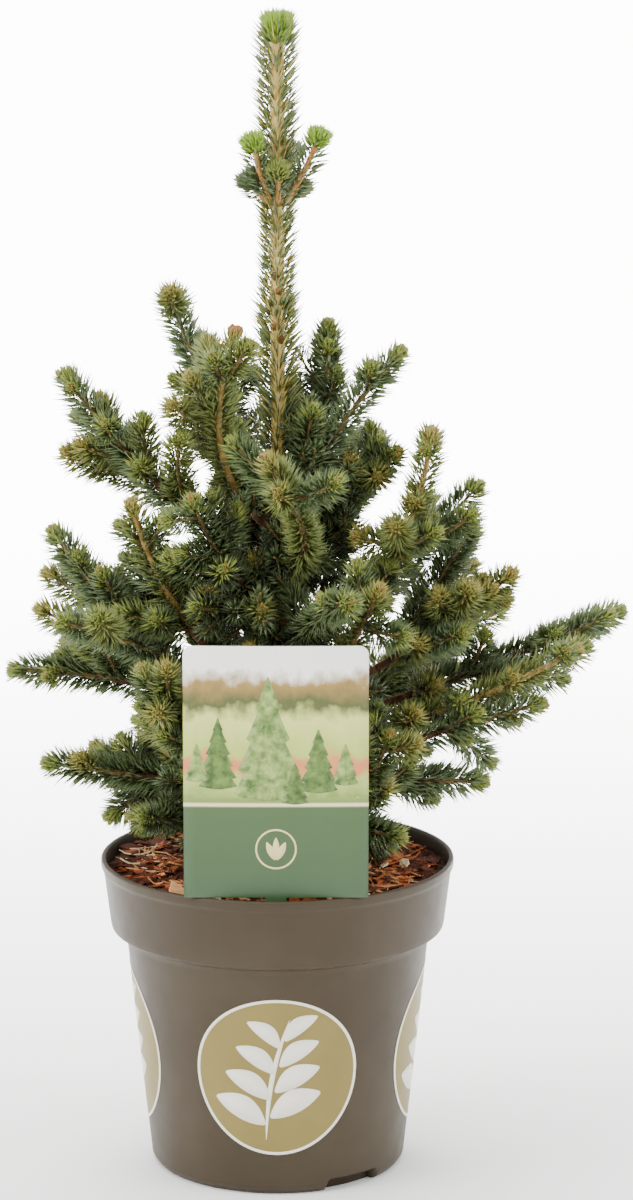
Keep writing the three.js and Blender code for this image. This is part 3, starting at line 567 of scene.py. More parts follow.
def fibres(name, count, seed, finish, spot=None):
    """Thin bent strands that lie on the ground: each is a short arc that turns at a steady rate."""
    rng = np.random.default_rng(seed)
    t = np.linspace(-1, 1, strand["stations"])
    x, y = scattered(rng, count, strand["margin"], spot)
    half = rng.uniform(*strand["half"], count)[:, None]
    yaw = rng.uniform(0, 2 * np.pi, count)[:, None]
    yaw = yaw + t * rng.uniform(-strand["turn"], strand["turn"], count)[:, None]
    x, y = x[:, None] + half * t * np.cos(yaw), y[:, None] + half * t * np.sin(yaw)
    x, y = held_in(x, y, mix_edge - 3)
    spring = rng.uniform(0, strand["spring"], count)[:, None] * (0.4 + t**2)
    line = np.stack([x, y, mix_height(x, y) + strand["lift"] + spring], -1)
    radius = rng.uniform(*strand["radius"], count)[:, None] * (1 - 0.5 * t**2)
    return make_tubes(name, line, radius, strand["sides"], finish, ())


def chip_finish(name, *colors):
    """Dry bark: streaks along the flake and a rough, lightly lit surface."""
    return mottled_finish(name, list(colors), 190.0, 0.8, 700.0, 0.0008, (1, 3, 1), 0.25)


dark_bark = chip_finish("dark_bark", (52, 22, 10), (98, 48, 24))
red_bark = chip_finish("red_bark", (126, 60, 28), (176, 96, 54))
tan_bark = chip_finish("tan_bark", (186, 124, 74), (222, 172, 122))
pale_wood = chip_finish("pale_wood", (226, 198, 150), (242, 222, 184))
chips("chips_dark", 560, 3, (7, 20), dark_bark, 1.6)
chips("chips_red", 260, 4, (6, 17), red_bark, 2.0)
chips("chips_tan", 80, 5, (5, 15), tan_bark, 2.6)
chips("chips_pale", 16, 6, (5, 11), pale_wood, 2.8)
chips("chips_long", 3, 12, (20, 25), tan_bark, 3.0, (-58, -56))
fibres("fibres_red", 170, 7, red_bark)
fibres("fibres_tan", 90, 8, tan_bark)
fibres("fibres_straw", 9, 9, pale_wood, (-76, 8))
fibres("fibres_gold", 16, 10, tan_bark, (66, -32))
print("chips and fibres laid")

# %% [markdown]
# ## The plant label
#
# The label is one thin card with a tongue pushed into the mix. It is a surface of rows: each row has
# its own half width, so the tongue, the shoulders and the rounded corners are one shape. Its print is
# generic: a hazy garden in soft bands, a few small conifers as flat patches, and a plain green foot.

# %% The card
label = {
    "width": 96.0, "height": 134.0, "thickness": 0.8, "corner": 5.0,
    "tongue": (11.0, 31.0), "plane": -86.0, "foot": 169.3, "bow": (1.2, 60.0), "columns": 17,
}
half_thick = label["thickness"] / 2


def card_half_width(height):
    """The tongue narrows to its point, the card is straight, and at its top corners the half width
    shrinks along a quarter of a circle."""
    wide, corner = label["width"] / 2, label["corner"]
    into = np.maximum(0, height - (label["height"] - corner))
    rounded = wide - corner + np.sqrt(np.maximum(0, corner**2 - into**2))
    tongue = np.minimum(label["tongue"][0] / 2, (height + label["tongue"][1]) * 1.1 + 0.3)
    return np.where(height < 0, tongue, rounded)


def card_place(x, height, lift):
    """A place on the card, this far behind its middle. It bows back a little to its long edges: by
    b (x / w)^2, where b grows with the height up to a full bow."""
    bow, full = label["bow"]
    bow = bow * (x / (label["width"] / 2)) ** 2 * np.clip(height / full, 0, 1)
    return np.stack([x, label["plane"] + lift + bow, label["foot"] + height + 0 * x], -1)


tongue_rows = np.linspace(-label["tongue"][1], -0.02, 8)
straight_rows = np.linspace(0, label["height"] - label["corner"] - 0.5, 16)
corner_rows = label["height"] - label["corner"] + 4.98 * np.sin(np.linspace(0, np.pi / 2, 9))
rows = np.concatenate([tongue_rows, straight_rows, corner_rows])[:, None]
x = np.linspace(-1, 1, label["columns"]) * card_half_width(rows)
front, back = card_place(x, rows, -half_thick), card_place(x, rows, half_thick)
place = np.concatenate([front, back[:, ::-1]], axis=1)
card_uv = place[..., [0, 2]] - [0, label["foot"]]
card_uv = card_uv / [label["width"], label["height"]] + [0.5, 0]
print("card rows", len(rows))

# %% The card's print
card_colors = [
    (0.02, (54, 80, 48)), (0.362, (66, 90, 50)), (0.366, (226, 216, 170)),
    (0.376, (226, 216, 170)), (0.38, (112, 136, 60)), (0.46, (170, 186, 96)),
    (0.5, (206, 122, 74)), (0.545, (206, 132, 84)), (0.58, (172, 188, 88)),
    (0.71, (204, 210, 116)), (0.77, (74, 84, 38)), (0.85, (150, 122, 62)), (0.91, (250, 248, 240)),
]


def card_finish():
    """The height on the card, blurred by noise, runs through a ramp: a plain green foot, a pale
    dividing line, lawn, a reddish path, hazy shrubs and a bright sky."""
    material = plain_finish("card_print", (200, 205, 180), 0.38)
    tree = material.node_tree
    shader = tree.nodes["Principled BSDF"]
    spot = add_node(tree, "ShaderNodeUVMap", uv_map="UVMap").outputs["UV"]
    noise = add_node(tree, "ShaderNodeTexNoise", {"Vector": spot, "Scale": 11.0, "Detail": 9.0})
    parts = add_node(tree, "ShaderNodeSeparateXYZ", {"Vector": spot})
    inputs = {0: noise.outputs["Fac"], 1: 0.16, 2: -0.08}
    blur = add_node(tree, "ShaderNodeMath", inputs, operation="MULTIPLY_ADD")
    above = add_node(tree, "ShaderNodeMath", {0: parts.outputs["Y"], 1: 0.4}, operation="GREATER_THAN")
    inputs = {0: blur.outputs[0], 1: above.outputs[0], 2: parts.outputs["Y"]}
    height = add_node(tree, "ShaderNodeMath", inputs, operation="MULTIPLY_ADD")
    ramp = color_ramp(tree, height.outputs[0], card_colors)
    tree.links.new(ramp, shader.inputs["Base Color"])
    shader.inputs["Coat Weight"].default_value = 0.1
    return material


make_sheet("label_card", front, back, card_finish(), ["plant_label"], card_uv)


def conifer_grid(x, foot, height, width, tiers):
    """A flat conifer in rows: the half width falls in a saw of tiers, and narrows to the top."""
    v = np.linspace(0, 1, tiers * 8 + 1)
    saw = 0.72 + 0.28 * (1 - (v * tiers) % 1)
    half = width / 2 * (1 - v) ** 0.85 * saw * np.minimum(1, v * 22 + 0.12) + 0.15
    side = np.array([-1.0, -0.5, 0, 0.5, 1.0])
    return x + half[:, None] * side, np.repeat((foot + height * v)[:, None], 5, 1)


def card_patch(name, shape, lift, material):
    """A closed thin patch on the card's front, over a grid of places given by x and height."""
    x, height = shape
    front = card_place(x, height, -half_thick - lift)
    back = card_place(x, height, -half_thick + 0.1)
    return make_sheet(name, front, back, material, ())


ink = (260.0, 0.4, 900.0, 0.00003)
soft_green = print_finish("soft_green_print", [(40, 68, 26), (110, 138, 60)], *ink)
pale_green = print_finish("pale_green_print", [(62, 94, 34), (156, 178, 96)], *ink)
cream = print_finish("cream_print", [(206, 190, 130), (216, 202, 146)], depth=0.00003)
trees = [
    (-4, 52, 66, 40, pale_green), (22, 56, 34, 22, soft_green), (-30, 58, 38, 22, soft_green),
    (36, 60, 22, 15, pale_green), (-41, 62, 20, 13, pale_green), (10, 50, 22, 15, soft_green),
]
for number, (*tree, green) in enumerate(trees):
    card_patch(f"label_tree_{number}", conifer_grid(*tree, 4 + number % 3), 0.08 + 0.02 * number, green)
ring = ring_grid(9.8, 10.8)[:, ::-1] + [0, 26.0]
card_patch("label_ring", np.moveaxis(ring, -1, 0), 0.1, cream)
for number, x in enumerate((-5.0, 0.0, 5.0)):
    leaf = leaf_grid((0.12 * x, 20.0), (x, 32.5 - 0.5 * abs(x)), 3.6, 0.0)
    card_patch(f"label_leaf_{number}", np.moveaxis(leaf, -1, 0), 0.1 + 0.02 * number, cream)
print("label with", len(trees), "printed trees and a ring of leaves")

# %% [markdown]
# ## How the tree grows
#
# The plant is drawn by a rule, the same one that made its solids. Each limb leaves the trunk at a
# height and on a heading, bends to a second heading, and bears side shoots in pairs. A side shoot
# that comes too near another limb is left out. The draws come from a seeded counter, so the same
# shoots stand in the same places here and in the solids. Here the rule is then carried on to finer
# twigs.

# %% The sizes of the tree
trunk = {
    "foot": 164.3, "tip": 613.0, "foot_radius": 8.0, "tip_radius": 2.0, "taper": 1.6,
    "flare": 4.5, "flare_height": 9.0, "lean": (3.0, 4.0, 0.4),
}
shoot = {"root_radius": 2.1, "tip_radius": 1.4, "root_band": 7.0, "band": 15.0, "bud": 6.0}
rule = {
    "first": 0.14, "last": 0.72, "taper": 0.45, "jitter": 7.0, "length_jitter": 0.12,
    "forward": 0.4, "lift": 0.12, "fork_from": 46.0, "fork_at": 0.45, "fork_share": 0.52,
    "tip_pair_at": 0.86, "tip_pair_share": 0.17, "shortest": 12.0, "place_weight": 0.08,
    "least_out": 0.55, "step": 5.0, "own_room": 3.5, "twin_room": 5.0, "root_room": 9.0,
}
bough_sizes = {"tip_radius": 2.1, "thickening": 0.011, "room": 1.5, "gap": 0.35}

# A limb's row: its height on the trunk, the bearing and the rise that it leaves on, its bough's
# length, the bearing and the rise that it ends on, and its shoot's length. Then come its pairs of
# side shoots: how many, how far they open, how far their plane is rolled, and their share of the
# length. Its arms are last, each with a place from 0 to 1, a length, a bearing and a rise. The values
# weren't chosen one by one: a seeded search in a scratch script fitted them to the crown's outline in
# the photograph. They are the same as in the source of the solids.
limb_facts = (
    "height", "from", "bough", "to", "reach", "pairs", "spread", "roll", "share", "arms",
)
limb_rows = {
    "left_upper": (320, (202, 29), 51, (179, 55), 115, 4, 64, 0, 0.21, (
        (0.05, 70, 160, 20), (0.49, 33, 245, 86), (0.59, 22, 167, 58), (0.24, 55, 141, 35),
        (0.25, 60, 280, 49))),
    "left_top": (336, (178, 66), 0, (157, 65), 150, 2, 64, -19, 0.36, (
        (0.25, 83, 243, 28), (0.42, 56, 104, 43), (0.45, 38, 210, 76), (0.4, 35, 166, 31))),
    "left_candle": (345, (225, 31), 0, (24, 69), 157, 2, 43, -50, 0.23, (
        (0.55, 23, 57, 46), (0.65, 45, 126, 66), (0.6, 32, 205, 64))),
    "right_top": (340, (33, 59), 0, (252, 86), 126, 2, 32, -17, 0.16, (
        (0.45, 34, 231, 75), (0.5, 27, 84, 62), (0.45, 33, 322, 74), (0.35, 49, 143, 83))),
    "right_high": (334, (323, 69), 0, (358, 47), 135, 2, 52, 23, 0.26, (
        (0.25, 45, 314, 67),)),
    "right_upper": (318, (54, 35), 0, (300, 29), 136, 3, 46, -34, 0.24, (
        (0.17, 52, 34, 45), (0.25, 46, 49, 44), (0.7, 28, 126, 56), (0.25, 26, 357, 65),
        (0.65, 41, 260, 36))),
    "front_mid": (325, (296, 12), 0, (188, 58), 140, 2, 63, 20, 0.58, ()),
    "left_mid": (302, (234, 26), 0, (230, 63), 111, 4, 63, -64, 0.42, (
        (0.2, 60, 228, 20), (0.33, 51, 221, 28), (0.3, 24, 184, 41), (0.2, 35, 248, 49),
        (0.55, 36, 253, 61))),
    "left_low": (253, (205, 26), 56, (225, 72), 99, 2, 56, -30, 0.38, (
        (0.56, 27, 270, 59), (0.3, 30, 155, 34), (0.3, 46, 199, 13), (0.35, 33, 121, 49),
        (0.15, 28, 189, 71))),
    "left_fan": (240, (194, 22), 62, (191, 58), 109, 2, 32, -28, 0.28, (
        (0.05, 85, 227, 17), (0.08, 71, 159, 34), (0.35, 28, 82, 43), (0.15, 60, 121, 78),
        (0.25, 36, 168, 61))),
    "left_side": (221, (182, 48), 53, (181, -2), 107, 2, 55, 10, 0.25, (
        (0.5, 56, 281, 56), (0.55, 31, 157, 36), (0.45, 47, 143, 47), (0.25, 41, 290, 16),
        (0.3, 31, 167, 35))),
    "left_front": (200, (238, 8), 37, (211, 59), 107, 4, 64, 41, 0.38, (
        (0.5, 36, 170, 18), (0.6, 34, 268, 56), (0.55, 46, 276, 75), (0.5, 35, 216, 28))),
    "left_bottom": (202, (189, 9), 30, (188, 10), 100, 2, 50, -30, 0.18, (
        (0.14, 60, 177, 15), (0.45, 27, 135, 56), (0.2, 27, 167, 42), (0.45, 41, 157, 17))),
    "left_droop": (183, (156, 42), 0, (195, -39), 132, 3, 60, 51, 0.58, (
        (0.6, 51, 116, 46), (0.35, 43, 215, 51), (0.35, 52, 169, 17), (0.35, 38, 255, 56))),
    "left_foot": (180, (212, 20), 0, (174, 25), 61, 3, 42, 0, 0.17, (
        (0.12, 42, 211, 19),)),
    "right_leader": (257, (343, 30), 60, (331, 82), 119, 4, 64, -13, 0.18, (
        (0.16, 88, 2, 45), (0.3, 55, 260, 19), (0.25, 30, 359, 55), (0.25, 34, 325, 54))),
    "right_out": (245, (15, 19), 58, (329, 41), 97, 3, 39, 67, 0.16, (
        (0.44, 50, 285, 33), (0.27, 84, 352, 58), (0.15, 51, 51, 37), (0.1, 58, 304, 18))),
    "right_side": (236, (5, 12), 59, (0, 25), 136, 2, 57, 9, 0.19, (
        (0.36, 57, 8, -5), (0.65, 60, 340, 29), (0.32, 46, 330, 14), (0.34, 30, 283, 63))),
    "right_gold": (225, (351, 7), 52, (341, 32), 125, 3, 57, 8, 0.22, ()),
    "right_low": (210, (339, 21), 54, (352, 18), 98, 4, 41, 59, 0.17, (
        (0.42, 35, 31, -52), (0.38, 43, 27, 21), (0.3, 27, 327, 24))),
    "right_bottom": (187, (346, 32), 51, (9, -8), 65, 2, 59, 40, 0.16, (
        (0.41, 24, 11, -22), (0.15, 32, 23, 0))),
    "right_foot": (180, (325, 20), 0, (288, 57), 120, 4, 53, 51, 0.43, (
        (0.4, 61, 23, 71), (0.58, 54, 256, 52), (0.47, 51, 358, 46))),
    "front_right": (238, (308, 35), 0, (304, 58), 130, 3, 56, 89, 0.51, ()),
    "front_centre": (275, (290, 35), 0, (285, 15), 137, 2, 57, 14, 0.16, (
        (0.3, 31, 120, 46), (0.1, 44, 311, 37))),
    "front_inner": (245, (252, 30), 0, (239, 65), 68, 4, 37, 16, 0.23, (
        (0.55, 51, 271, 16), (0.4, 36, 328, 45), (0.65, 45, 153, 57), (0.2, 26, 258, 17))),
    "front_low": (200, (280, 10), 0, (296, 43), 70, 4, 41, -4, 0.24, (
        (0.65, 37, 239, 12), (0.3, 63, 221, 18), (0.6, 41, 265, 30), (0.6, 50, 300, 4))),
    "back_low_left": (203, (140, 12), 45, (122, 55), 109, 3, 35, 81, 0.16, (
        (0.75, 54, 173, 39), (0.46, 35, 166, 9), (0.57, 45, 223, 22), (0.4, 28, 122, -1),
        (0.15, 37, 231, 51))),
    "back_low": (210, (95, 14), 45, (96, 55), 103, 2, 40, 39, 0.21, ()),
    "back_low_right": (202, (45, 12), 45, (46, 36), 128, 2, 61, 53, 0.22, (
        (0.65, 30, 7, 46), (0.41, 63, 54, 38), (0.69, 61, 80, 26))),
    "back_mid_left": (262, (125, 22), 40, (117, 24), 61, 3, 62, -75, 0.29, (
        (0.45, 53, 143, 10),)),
    "back_mid_right": (268, (60, 22), 40, (48, 78), 111, 2, 46, -17, 0.34, ()),
    "back_left": (232, (148, 25), 0, (139, 65), 86, 3, 40, -9, 0.23, (
        (0.39, 67, 139, 44), (0.3, 24, 108, 35), (0.35, 31, 216, 79), (0.61, 35, 81, 25))),
    "back_centre": (248, (96, 26), 0, (91, 54), 140, 3, 55, 23, 0.2, (
        (0.55, 49, 77, 23), (0.3, 34, 1, 85), (0.39, 30, 106, 38), (0.3, 28, 124, 15))),
    "back_right": (224, (44, 32), 0, (21, -4), 131, 2, 54, -68, 0.16, (
        (0.44, 20, 137, -10), (0.65, 92, 41, 41), (0.65, 42, 38, -28), (0.4, 44, 90, 17))),
    "back_top": (298, (92, 32), 0, (117, 53), 63, 2, 38, -33, 0.26, (
        (0.74, 40, 131, 8),)),
    "back_high_left": (316, (122, 32), 0, (127, 41), 79, 4, 47, -86, 0.27, (
        (0.3, 57, 256, 82), (0.5, 68, 108, 69))),
    "back_high_right": (331, (58, 38), 0, (71, 9), 76, 3, 54, -17, 0.2, (
        (0.45, 24, 14, 86),)),
}
limbs = {name: dict(zip(limb_facts, row)) for name, row in limb_rows.items()}
print(len(limbs), "limbs")

# %% Bends and frames
def heading(bearing, rise):
    """The direction (cos r cos b, cos r sin b, sin r) of a bearing b and a rise r in degrees."""
    b, r = math.radians(bearing), math.radians(rise)
    return np.array([math.cos(r) * math.cos(b), math.cos(r) * math.sin(b), math.sin(r)])


def bend(start, first, last, length):
    """Three points: half the length on the first direction, then half on the last."""
    knee = start + first * (length / 2)
    return np.array([start, knee, knee + last * (length / 2)])


def point_on(curve, at):
    """(1-t)^2 a + 2t(1-t) b + t^2 c at the share t of a bend, or of many bends at once."""
    t = np.asarray(at, dtype=float)[..., None]
    a, b, c = curve[..., 0, :], curve[..., 1, :], curve[..., 2, :]
    return (1 - t) ** 2 * a + 2 * t * (1 - t) * b + t**2 * c


def heading_on(curve, at):
    """The direction along a bend, from the points just before and just after a place."""
    at = np.asarray(at, dtype=float)
    ahead, behind = np.minimum(at + 1e-4, 1), np.maximum(at - 1e-4, 0)
    return unit(point_on(curve, ahead) - point_on(curve, behind))


def stations(curve, places, side):
    """Frames along a bend. The side vector starts as given, or level, and is carried on untwisted."""
    frames = []
    for at in places:
        along = heading_on(curve, at)
        side = np.cross(along, UP) if side is None else side
        side = unit(side - along * (side @ along))
        level = unit(np.cross(along, UP))
        frames.append({
            "at": at, "point": point_on(curve, at), "along": along, "side": side,
            "over": np.cross(side, along), "level": level, "upward": np.cross(level, along),
        })
    return frames


def trunk_at(z):
    """The middle and the radius of the trunk at a height, for one height or an array of them."""
    z = np.asarray(z, dtype=float)
    up = (z - trunk["foot"]) / (trunk["tip"] - trunk["foot"])
    lean_x, lean_y, tip_x = trunk["lean"]
    x, y = lean_x * (1 - up) ** 2 + tip_x * up**2, lean_y * (1 - up) ** 2
    taper = (trunk["foot_radius"] - trunk["tip_radius"]) * np.maximum(0, 1 - up) ** trunk["taper"]
    flare = trunk["flare"] * np.exp(-(z - trunk["foot"]) / trunk["flare_height"])
    return np.stack([x, y, z], -1), trunk["tip_radius"] + taper + flare


print("trunk radius at the foot", round(float(trunk_at(trunk["foot"])[1]), 1))

# %% Shoots and the faces they stand on
def ring_at(frame, radius, sides, turn):
    """A ring of corners round a frame: p + r (side cos a - over sin a)."""
    a = (np.arange(sides)[:, None] + turn) / sides * 2 * math.pi
    return frame["point"] + frame["side"] * np.cos(a) * radius - frame["over"] * np.sin(a) * radius


def turn_of(k, bare):
    """How far ring k has turned, in faces: half a face at every other band past the bare ones."""
    return max(0, k - bare) // 2 / 2


def corners_of(s, band, face):
    """The four corners of a face: two on a ring and two above them on the next."""
    low, high = s["rings"][band], s["rings"][band + 1]
    after = (face + 1) % len(low)
    return np.array([low[face], low[after], high[after], high[face]])


def shoot_along(curve, length, foot=None, **more):
    """A shoot as rings along a bend: a bare root band, even bands, and a bud at the tip."""
    root, bud = min(shoot["root_band"], length / 3), min(shoot["bud"], length / 3)
    bands = max(1, math.floor((length - root - bud) / shoot["band"] + 0.5))
    places = [0.0, *np.linspace(root / length, 1 - bud / length, bands + 1)]
    side = None if foot is None else foot[1] - foot[0] + foot[2] - foot[3]
    frames = stations(curve, places, side)
    slope = shoot["tip_radius"] - shoot["root_radius"]
    rings = [ring_at(f, shoot["root_radius"] + slope * f["at"], 4, 2.5 + turn_of(k, 1))
             for k, f in enumerate(frames)]
    if foot is not None:
        rings[0] = foot
    return {"curve": curve, "length": length, "frames": frames, "rings": rings, "bare": 1,
            "used": set(), "parent": None, **more}


def side_shoot(parent, at, first, last, length):
    """A side shoot on the free face of its parent that lies nearest its place and looks its way. It
    leans out from that face if its first heading doesn't."""
    best = None
    for band in range(parent["bare"], len(parent["rings"]) - 1, 2):
        frame = parent["frames"][band]
        middle = (frame["at"] + parent["frames"][band + 1]["at"]) / 2
        for face in range(len(parent["rings"][band])):
            if (band, face) in parent["used"]:
                continue
            corners = corners_of(parent, band, face)
            out = corners.mean(0) - frame["point"]
            out = unit(out - frame["along"] * (out @ frame["along"]))
            cost = abs(middle - at) * parent["length"] * rule["place_weight"] - out @ first
            if best is None or cost < best[0]:
                best = (cost, (band, face), corners, out)
    cost, key, corners, out = best
    start = unit(first + out * max(0.0, rule["least_out"] - out @ first))
    curve = bend(corners.mean(0), start, last, length)
    return shoot_along(curve, length, corners, parent=parent, key=key)


print("shoots have rings every", shoot["band"], "mm")

# %% Pairs, arms and room
def seeded_draw(seed):
    """Draws from 0 to 1 that repeat for a seed: s becomes 1664525 s + 1013904223 modulo 2^32."""
    state = (seed * 2654435761) & 0xFFFFFFFF
    while True:
        state = (state * 1664525 + 1013904223) & 0xFFFFFFFF
        yield state / 4294967296


def pair_on(parent, at, length, spread, roll, draw):
    """A left and a right side shoot: the way along, opened by the spread, in a rolled plane."""
    frame = [f for f in parent["frames"] if f["at"] <= at][-1]
    along = heading_on(parent["curve"], at)
    pair = []
    for hand in (-1, 1):
        opened = math.radians(spread + (next(draw) - 0.5) * 2 * rule["jitter"])
        tilt = math.radians(roll + (next(draw) - 0.5) * 2 * rule["jitter"])
        out = frame["level"] * math.cos(tilt) * hand
        out = unit(out + frame["upward"] * (math.sin(tilt) * hand + rule["lift"]))
        first = along * math.cos(opened) + out * math.sin(opened)
        last = unit(first + along * rule["forward"] + UP * rule["lift"])
        reach = length * (1 + (next(draw) - 0.5) * 2 * rule["length_jitter"])
        pair.append((at, first, last, reach))
    return pair


def arm_on(parent, at, length, bearing, rise):
    """A named side shoot, which leaves its parent forwards of its own end heading."""
    last = heading(bearing, rise)
    return at, unit(heading_on(parent["curve"], at) * 0.6 + last), last, length


class Room:
    """The samples that the limbs keep clear round themselves, each with its room and its owner."""

    def __init__(self, most=20000):
        self.points, self.rooms = np.zeros((most, 3)), np.zeros(most)
        self.owners, self.count = np.zeros((2, most), dtype=int), 0

    def claim(self, points, room, owner, parent=None):
        """Adds the samples of one limb. An owner and its parent are kept as whole numbers."""
        span = slice(self.count, self.count + len(points))
        self.points[span], self.rooms[span] = points, room
        self.owners[0, span], self.owners[1, span] = id(owner), id(parent) if parent else 0
        self.count += len(points)

    def crowded(self, points, parent, sizes):
        """Whether a point lies nearer a sample than both rooms together. A shoot's parent doesn't
        count, and its twins on the same parent keep a room of their own."""
        held = slice(0, self.count)
        away = np.linalg.norm(points[:, None] - self.points[None, held], axis=2)
        twin = self.owners[1, held] == id(parent)
        need = np.where(twin, sizes["twin_room"], sizes["own_room"] + self.rooms[held])
        return bool(((away < need) & (self.owners[0, held] != id(parent))).any())


def clear_of_pot(points, margin=3.0):
    """Whether all points are clear of the rim, the mix and the label."""
    out = np.hypot(points[:, 0], points[:, 1])
    floor = np.where(out < pot["rim"] - 8, mix["level"] + mix["swell"] + 2, pot["height"] + 2.5)
    low = (out < pot["rim"] + margin) & (points[:, 2] < floor)
    beside = np.abs(points[:, 0]) > label["width"] / 2 + margin
    above = points[:, 2] > pot["height"] + label["height"] + margin
    near_card = np.abs(points[:, 1] - label["plane"]) <= margin
    return not (low | (near_card & ~beside & ~above)).any()


def samples_of(s):
    """Points every few millimetres along a limb."""
    return point_on(s["curve"], np.linspace(0, 1, math.ceil(s["length"] / rule["step"]) + 1))


def keep_if_room(s, shoots, sizes=rule):
    """Keeps a side shoot if it is long enough and has room past its root. It then claims room."""
    if s["length"] < sizes["shortest"]:
        return False
    points = samples_of(s)
    outer = points[np.linalg.norm(points - points[0], axis=1) > sizes["root_room"]]
    if len(outer) and room.crowded(outer, s["parent"], sizes):
        return False
    if not clear_of_pot(outer):
        return False
    room.claim(points, sizes["own_room"], s, s["parent"])
    s["parent"]["used"].add(s.get("key"))
    shoots.append(s)
    return True


print("room is kept every", rule["step"], "mm")

# %% Growing the shoots of the solids
def add_shoots(mass, headings, draw):
    """Adds side shoots on these headings, and on each long one a pair of its own."""
    for way in headings:
        side = side_shoot(mass["main"], *way)
        if keep_if_room(side, mass["shoots"]) and side["length"] >= rule["fork_from"]:
            reach = side["length"] * rule["fork_share"]
            for fork in pair_on(side, rule["fork_at"], reach, mass["limb"]["spread"], 0, draw):
                keep_if_room(side_shoot(side, *fork), mass["shoots"])


def pair_headings(mass, draw):
    """The pairs along a main shoot, each shorter than the one before, and the one near its tip."""
    limb, main = mass["limb"], mass["main"]
    ways = []
    for step in np.linspace(0, 1, limb["pairs"]):
        at = rule["first"] + (rule["last"] - rule["first"]) * step
        reach = main["length"] * limb["share"] * (1 - rule["taper"] * step)
        ways += pair_on(main, at, reach, limb["spread"], limb["roll"], draw)
    reach = main["length"] * rule["tip_pair_share"]
    return ways + pair_on(main, rule["tip_pair_at"], reach, limb["spread"], limb["roll"], draw)


def framework(name, limb):
    """A limb's bough, if it has one, and the main shoot that goes on from it."""
    first, last = heading(*limb["from"]), heading(*limb["to"])
    start, bough = trunk_at(limb["height"])[0], None
    if limb["bough"]:
        way = unit(first + last)
        curve = bend(start, first, way, limb["bough"])
        thick = bough_sizes["thickening"] * (limb["bough"] + limb["reach"])
        radius = bough_sizes["tip_radius"] + thick
        bough = {"curve": curve, "radius": radius, "length": limb["bough"]}
        start, first = curve[2] + way * bough_sizes["gap"], way
    main = shoot_along(bend(start, first, last, limb["reach"]), limb["reach"])
    return {"name": name, "limb": limb, "main": main, "shoots": [main], "bough": bough}


room = Room()
for z in np.linspace(trunk["foot"], trunk["tip"], 91):
    middle, radius = trunk_at(z)
    room.claim(middle[None], float(radius) + bough_sizes["room"], room)
masses = [framework(name, limb) for name, limb in limbs.items()]
for mass in masses:
    room.claim(samples_of(mass["main"]), rule["own_room"], mass["main"])
    if mass["bough"]:
        reach = mass["bough"]["radius"] + bough_sizes["room"]
        room.claim(samples_of(mass["bough"]), reach, mass["bough"])
draws = [seeded_draw(index + 1) for index in range(len(masses))]
for mass, draw in zip(masses, draws):
    add_shoots(mass, [arm_on(mass["main"], *arm) for arm in mass["limb"]["arms"]], draw)
for mass, draw in zip(masses, draws):
    add_shoots(mass, pair_headings(mass, draw), draw)
print(sum(len(mass["shoots"]) for mass in masses), "shoots as in the solids")

# %% The small whorl on the leader
sleeve = {"wall": 1.7, "sides": 7, "band": 9.5}
leader = {"whorl": 516.0, "tip": 622.0}


def sleeve_along(low, high):
    """The rings round the leader that the whorl's shoots stand on."""
    bands = math.floor((high - low) / sleeve["band"] + 0.5)
    frames, rings = [], []
    for k, at in enumerate(np.linspace(0, 1, bands + 1)):
        middle, radius = trunk_at(low + (high - low) * at)
        frames.append({"at": at, "point": middle, "along": UP, "side": X_AXIS,
                       "over": np.array([0, -1.0, 0])})
        wide = float(radius) + sleeve["wall"]
        rings.append(ring_at(frames[-1], wide, sleeve["sides"], turn_of(k, 0)))
    return {"length": high - low, "frames": frames, "rings": rings, "bare": 0, "used": set()}


# A shoot's row is its length, bearing and rise. These were searched for as well, from the places of
# the tips in the photograph.
whorl = [(46, 332, 71), (41, 228, 77), (22, 206, 59), (25, 267, 78), (34, 66, 69), (16, 12, 59)]
top_sleeve, whorl_shoots = sleeve_along(leader["whorl"], leader["tip"]), []
for length, bearing, rise in whorl:
    s = side_shoot(top_sleeve, 0, heading(bearing, rise - 20), heading(bearing, rise), length)
    keep_if_room(s, whorl_shoots)
print(len(whorl_shoots), "shoots in the whorl")

# %% [markdown]
# ## Finer twigs
#
# On the real plant each side shoot bears short twigs of its own, which close the crown. They follow
# the same rule of pairs, turned by a quarter about every second stem, and with less room between
# them. They are short, so the crown keeps its reach and the gaps that show the sky.

# %% Growing the finer twigs
fine = {
    "spacing": 14.0, "first": 0.18, "last": 0.8, "share": 0.4, "fade": (1.1, 0.6), "spread": 44.0,
    "reach": (12.0, 24.0), "least": 26.0, "foot": 1.2, "deep": 66.0, "cone": (560.0, 280.0),
    "own_room": 1.4, "twin_room": 4.5, "root_room": 7.0, "shortest": 10.0,
}


def fine_twig(parent, at, first, last, length):
    """A twig that stands on its parent's bark, as a bend alone."""
    along = heading_on(parent["curve"], at)
    out = unit(first - along * (first @ along))
    curve = bend(point_on(parent["curve"], at) + out * fine["foot"], first, last, length)
    return {"curve": curve, "length": length, "parent": parent}


def deep_inside(point):
    """Whether a point lies within the cylinder, and higher up within the cone, of the inner crown."""
    top, height = fine["cone"]
    return math.hypot(point[0], point[1]) < fine["deep"] * min(1.0, (top - point[2]) / height)


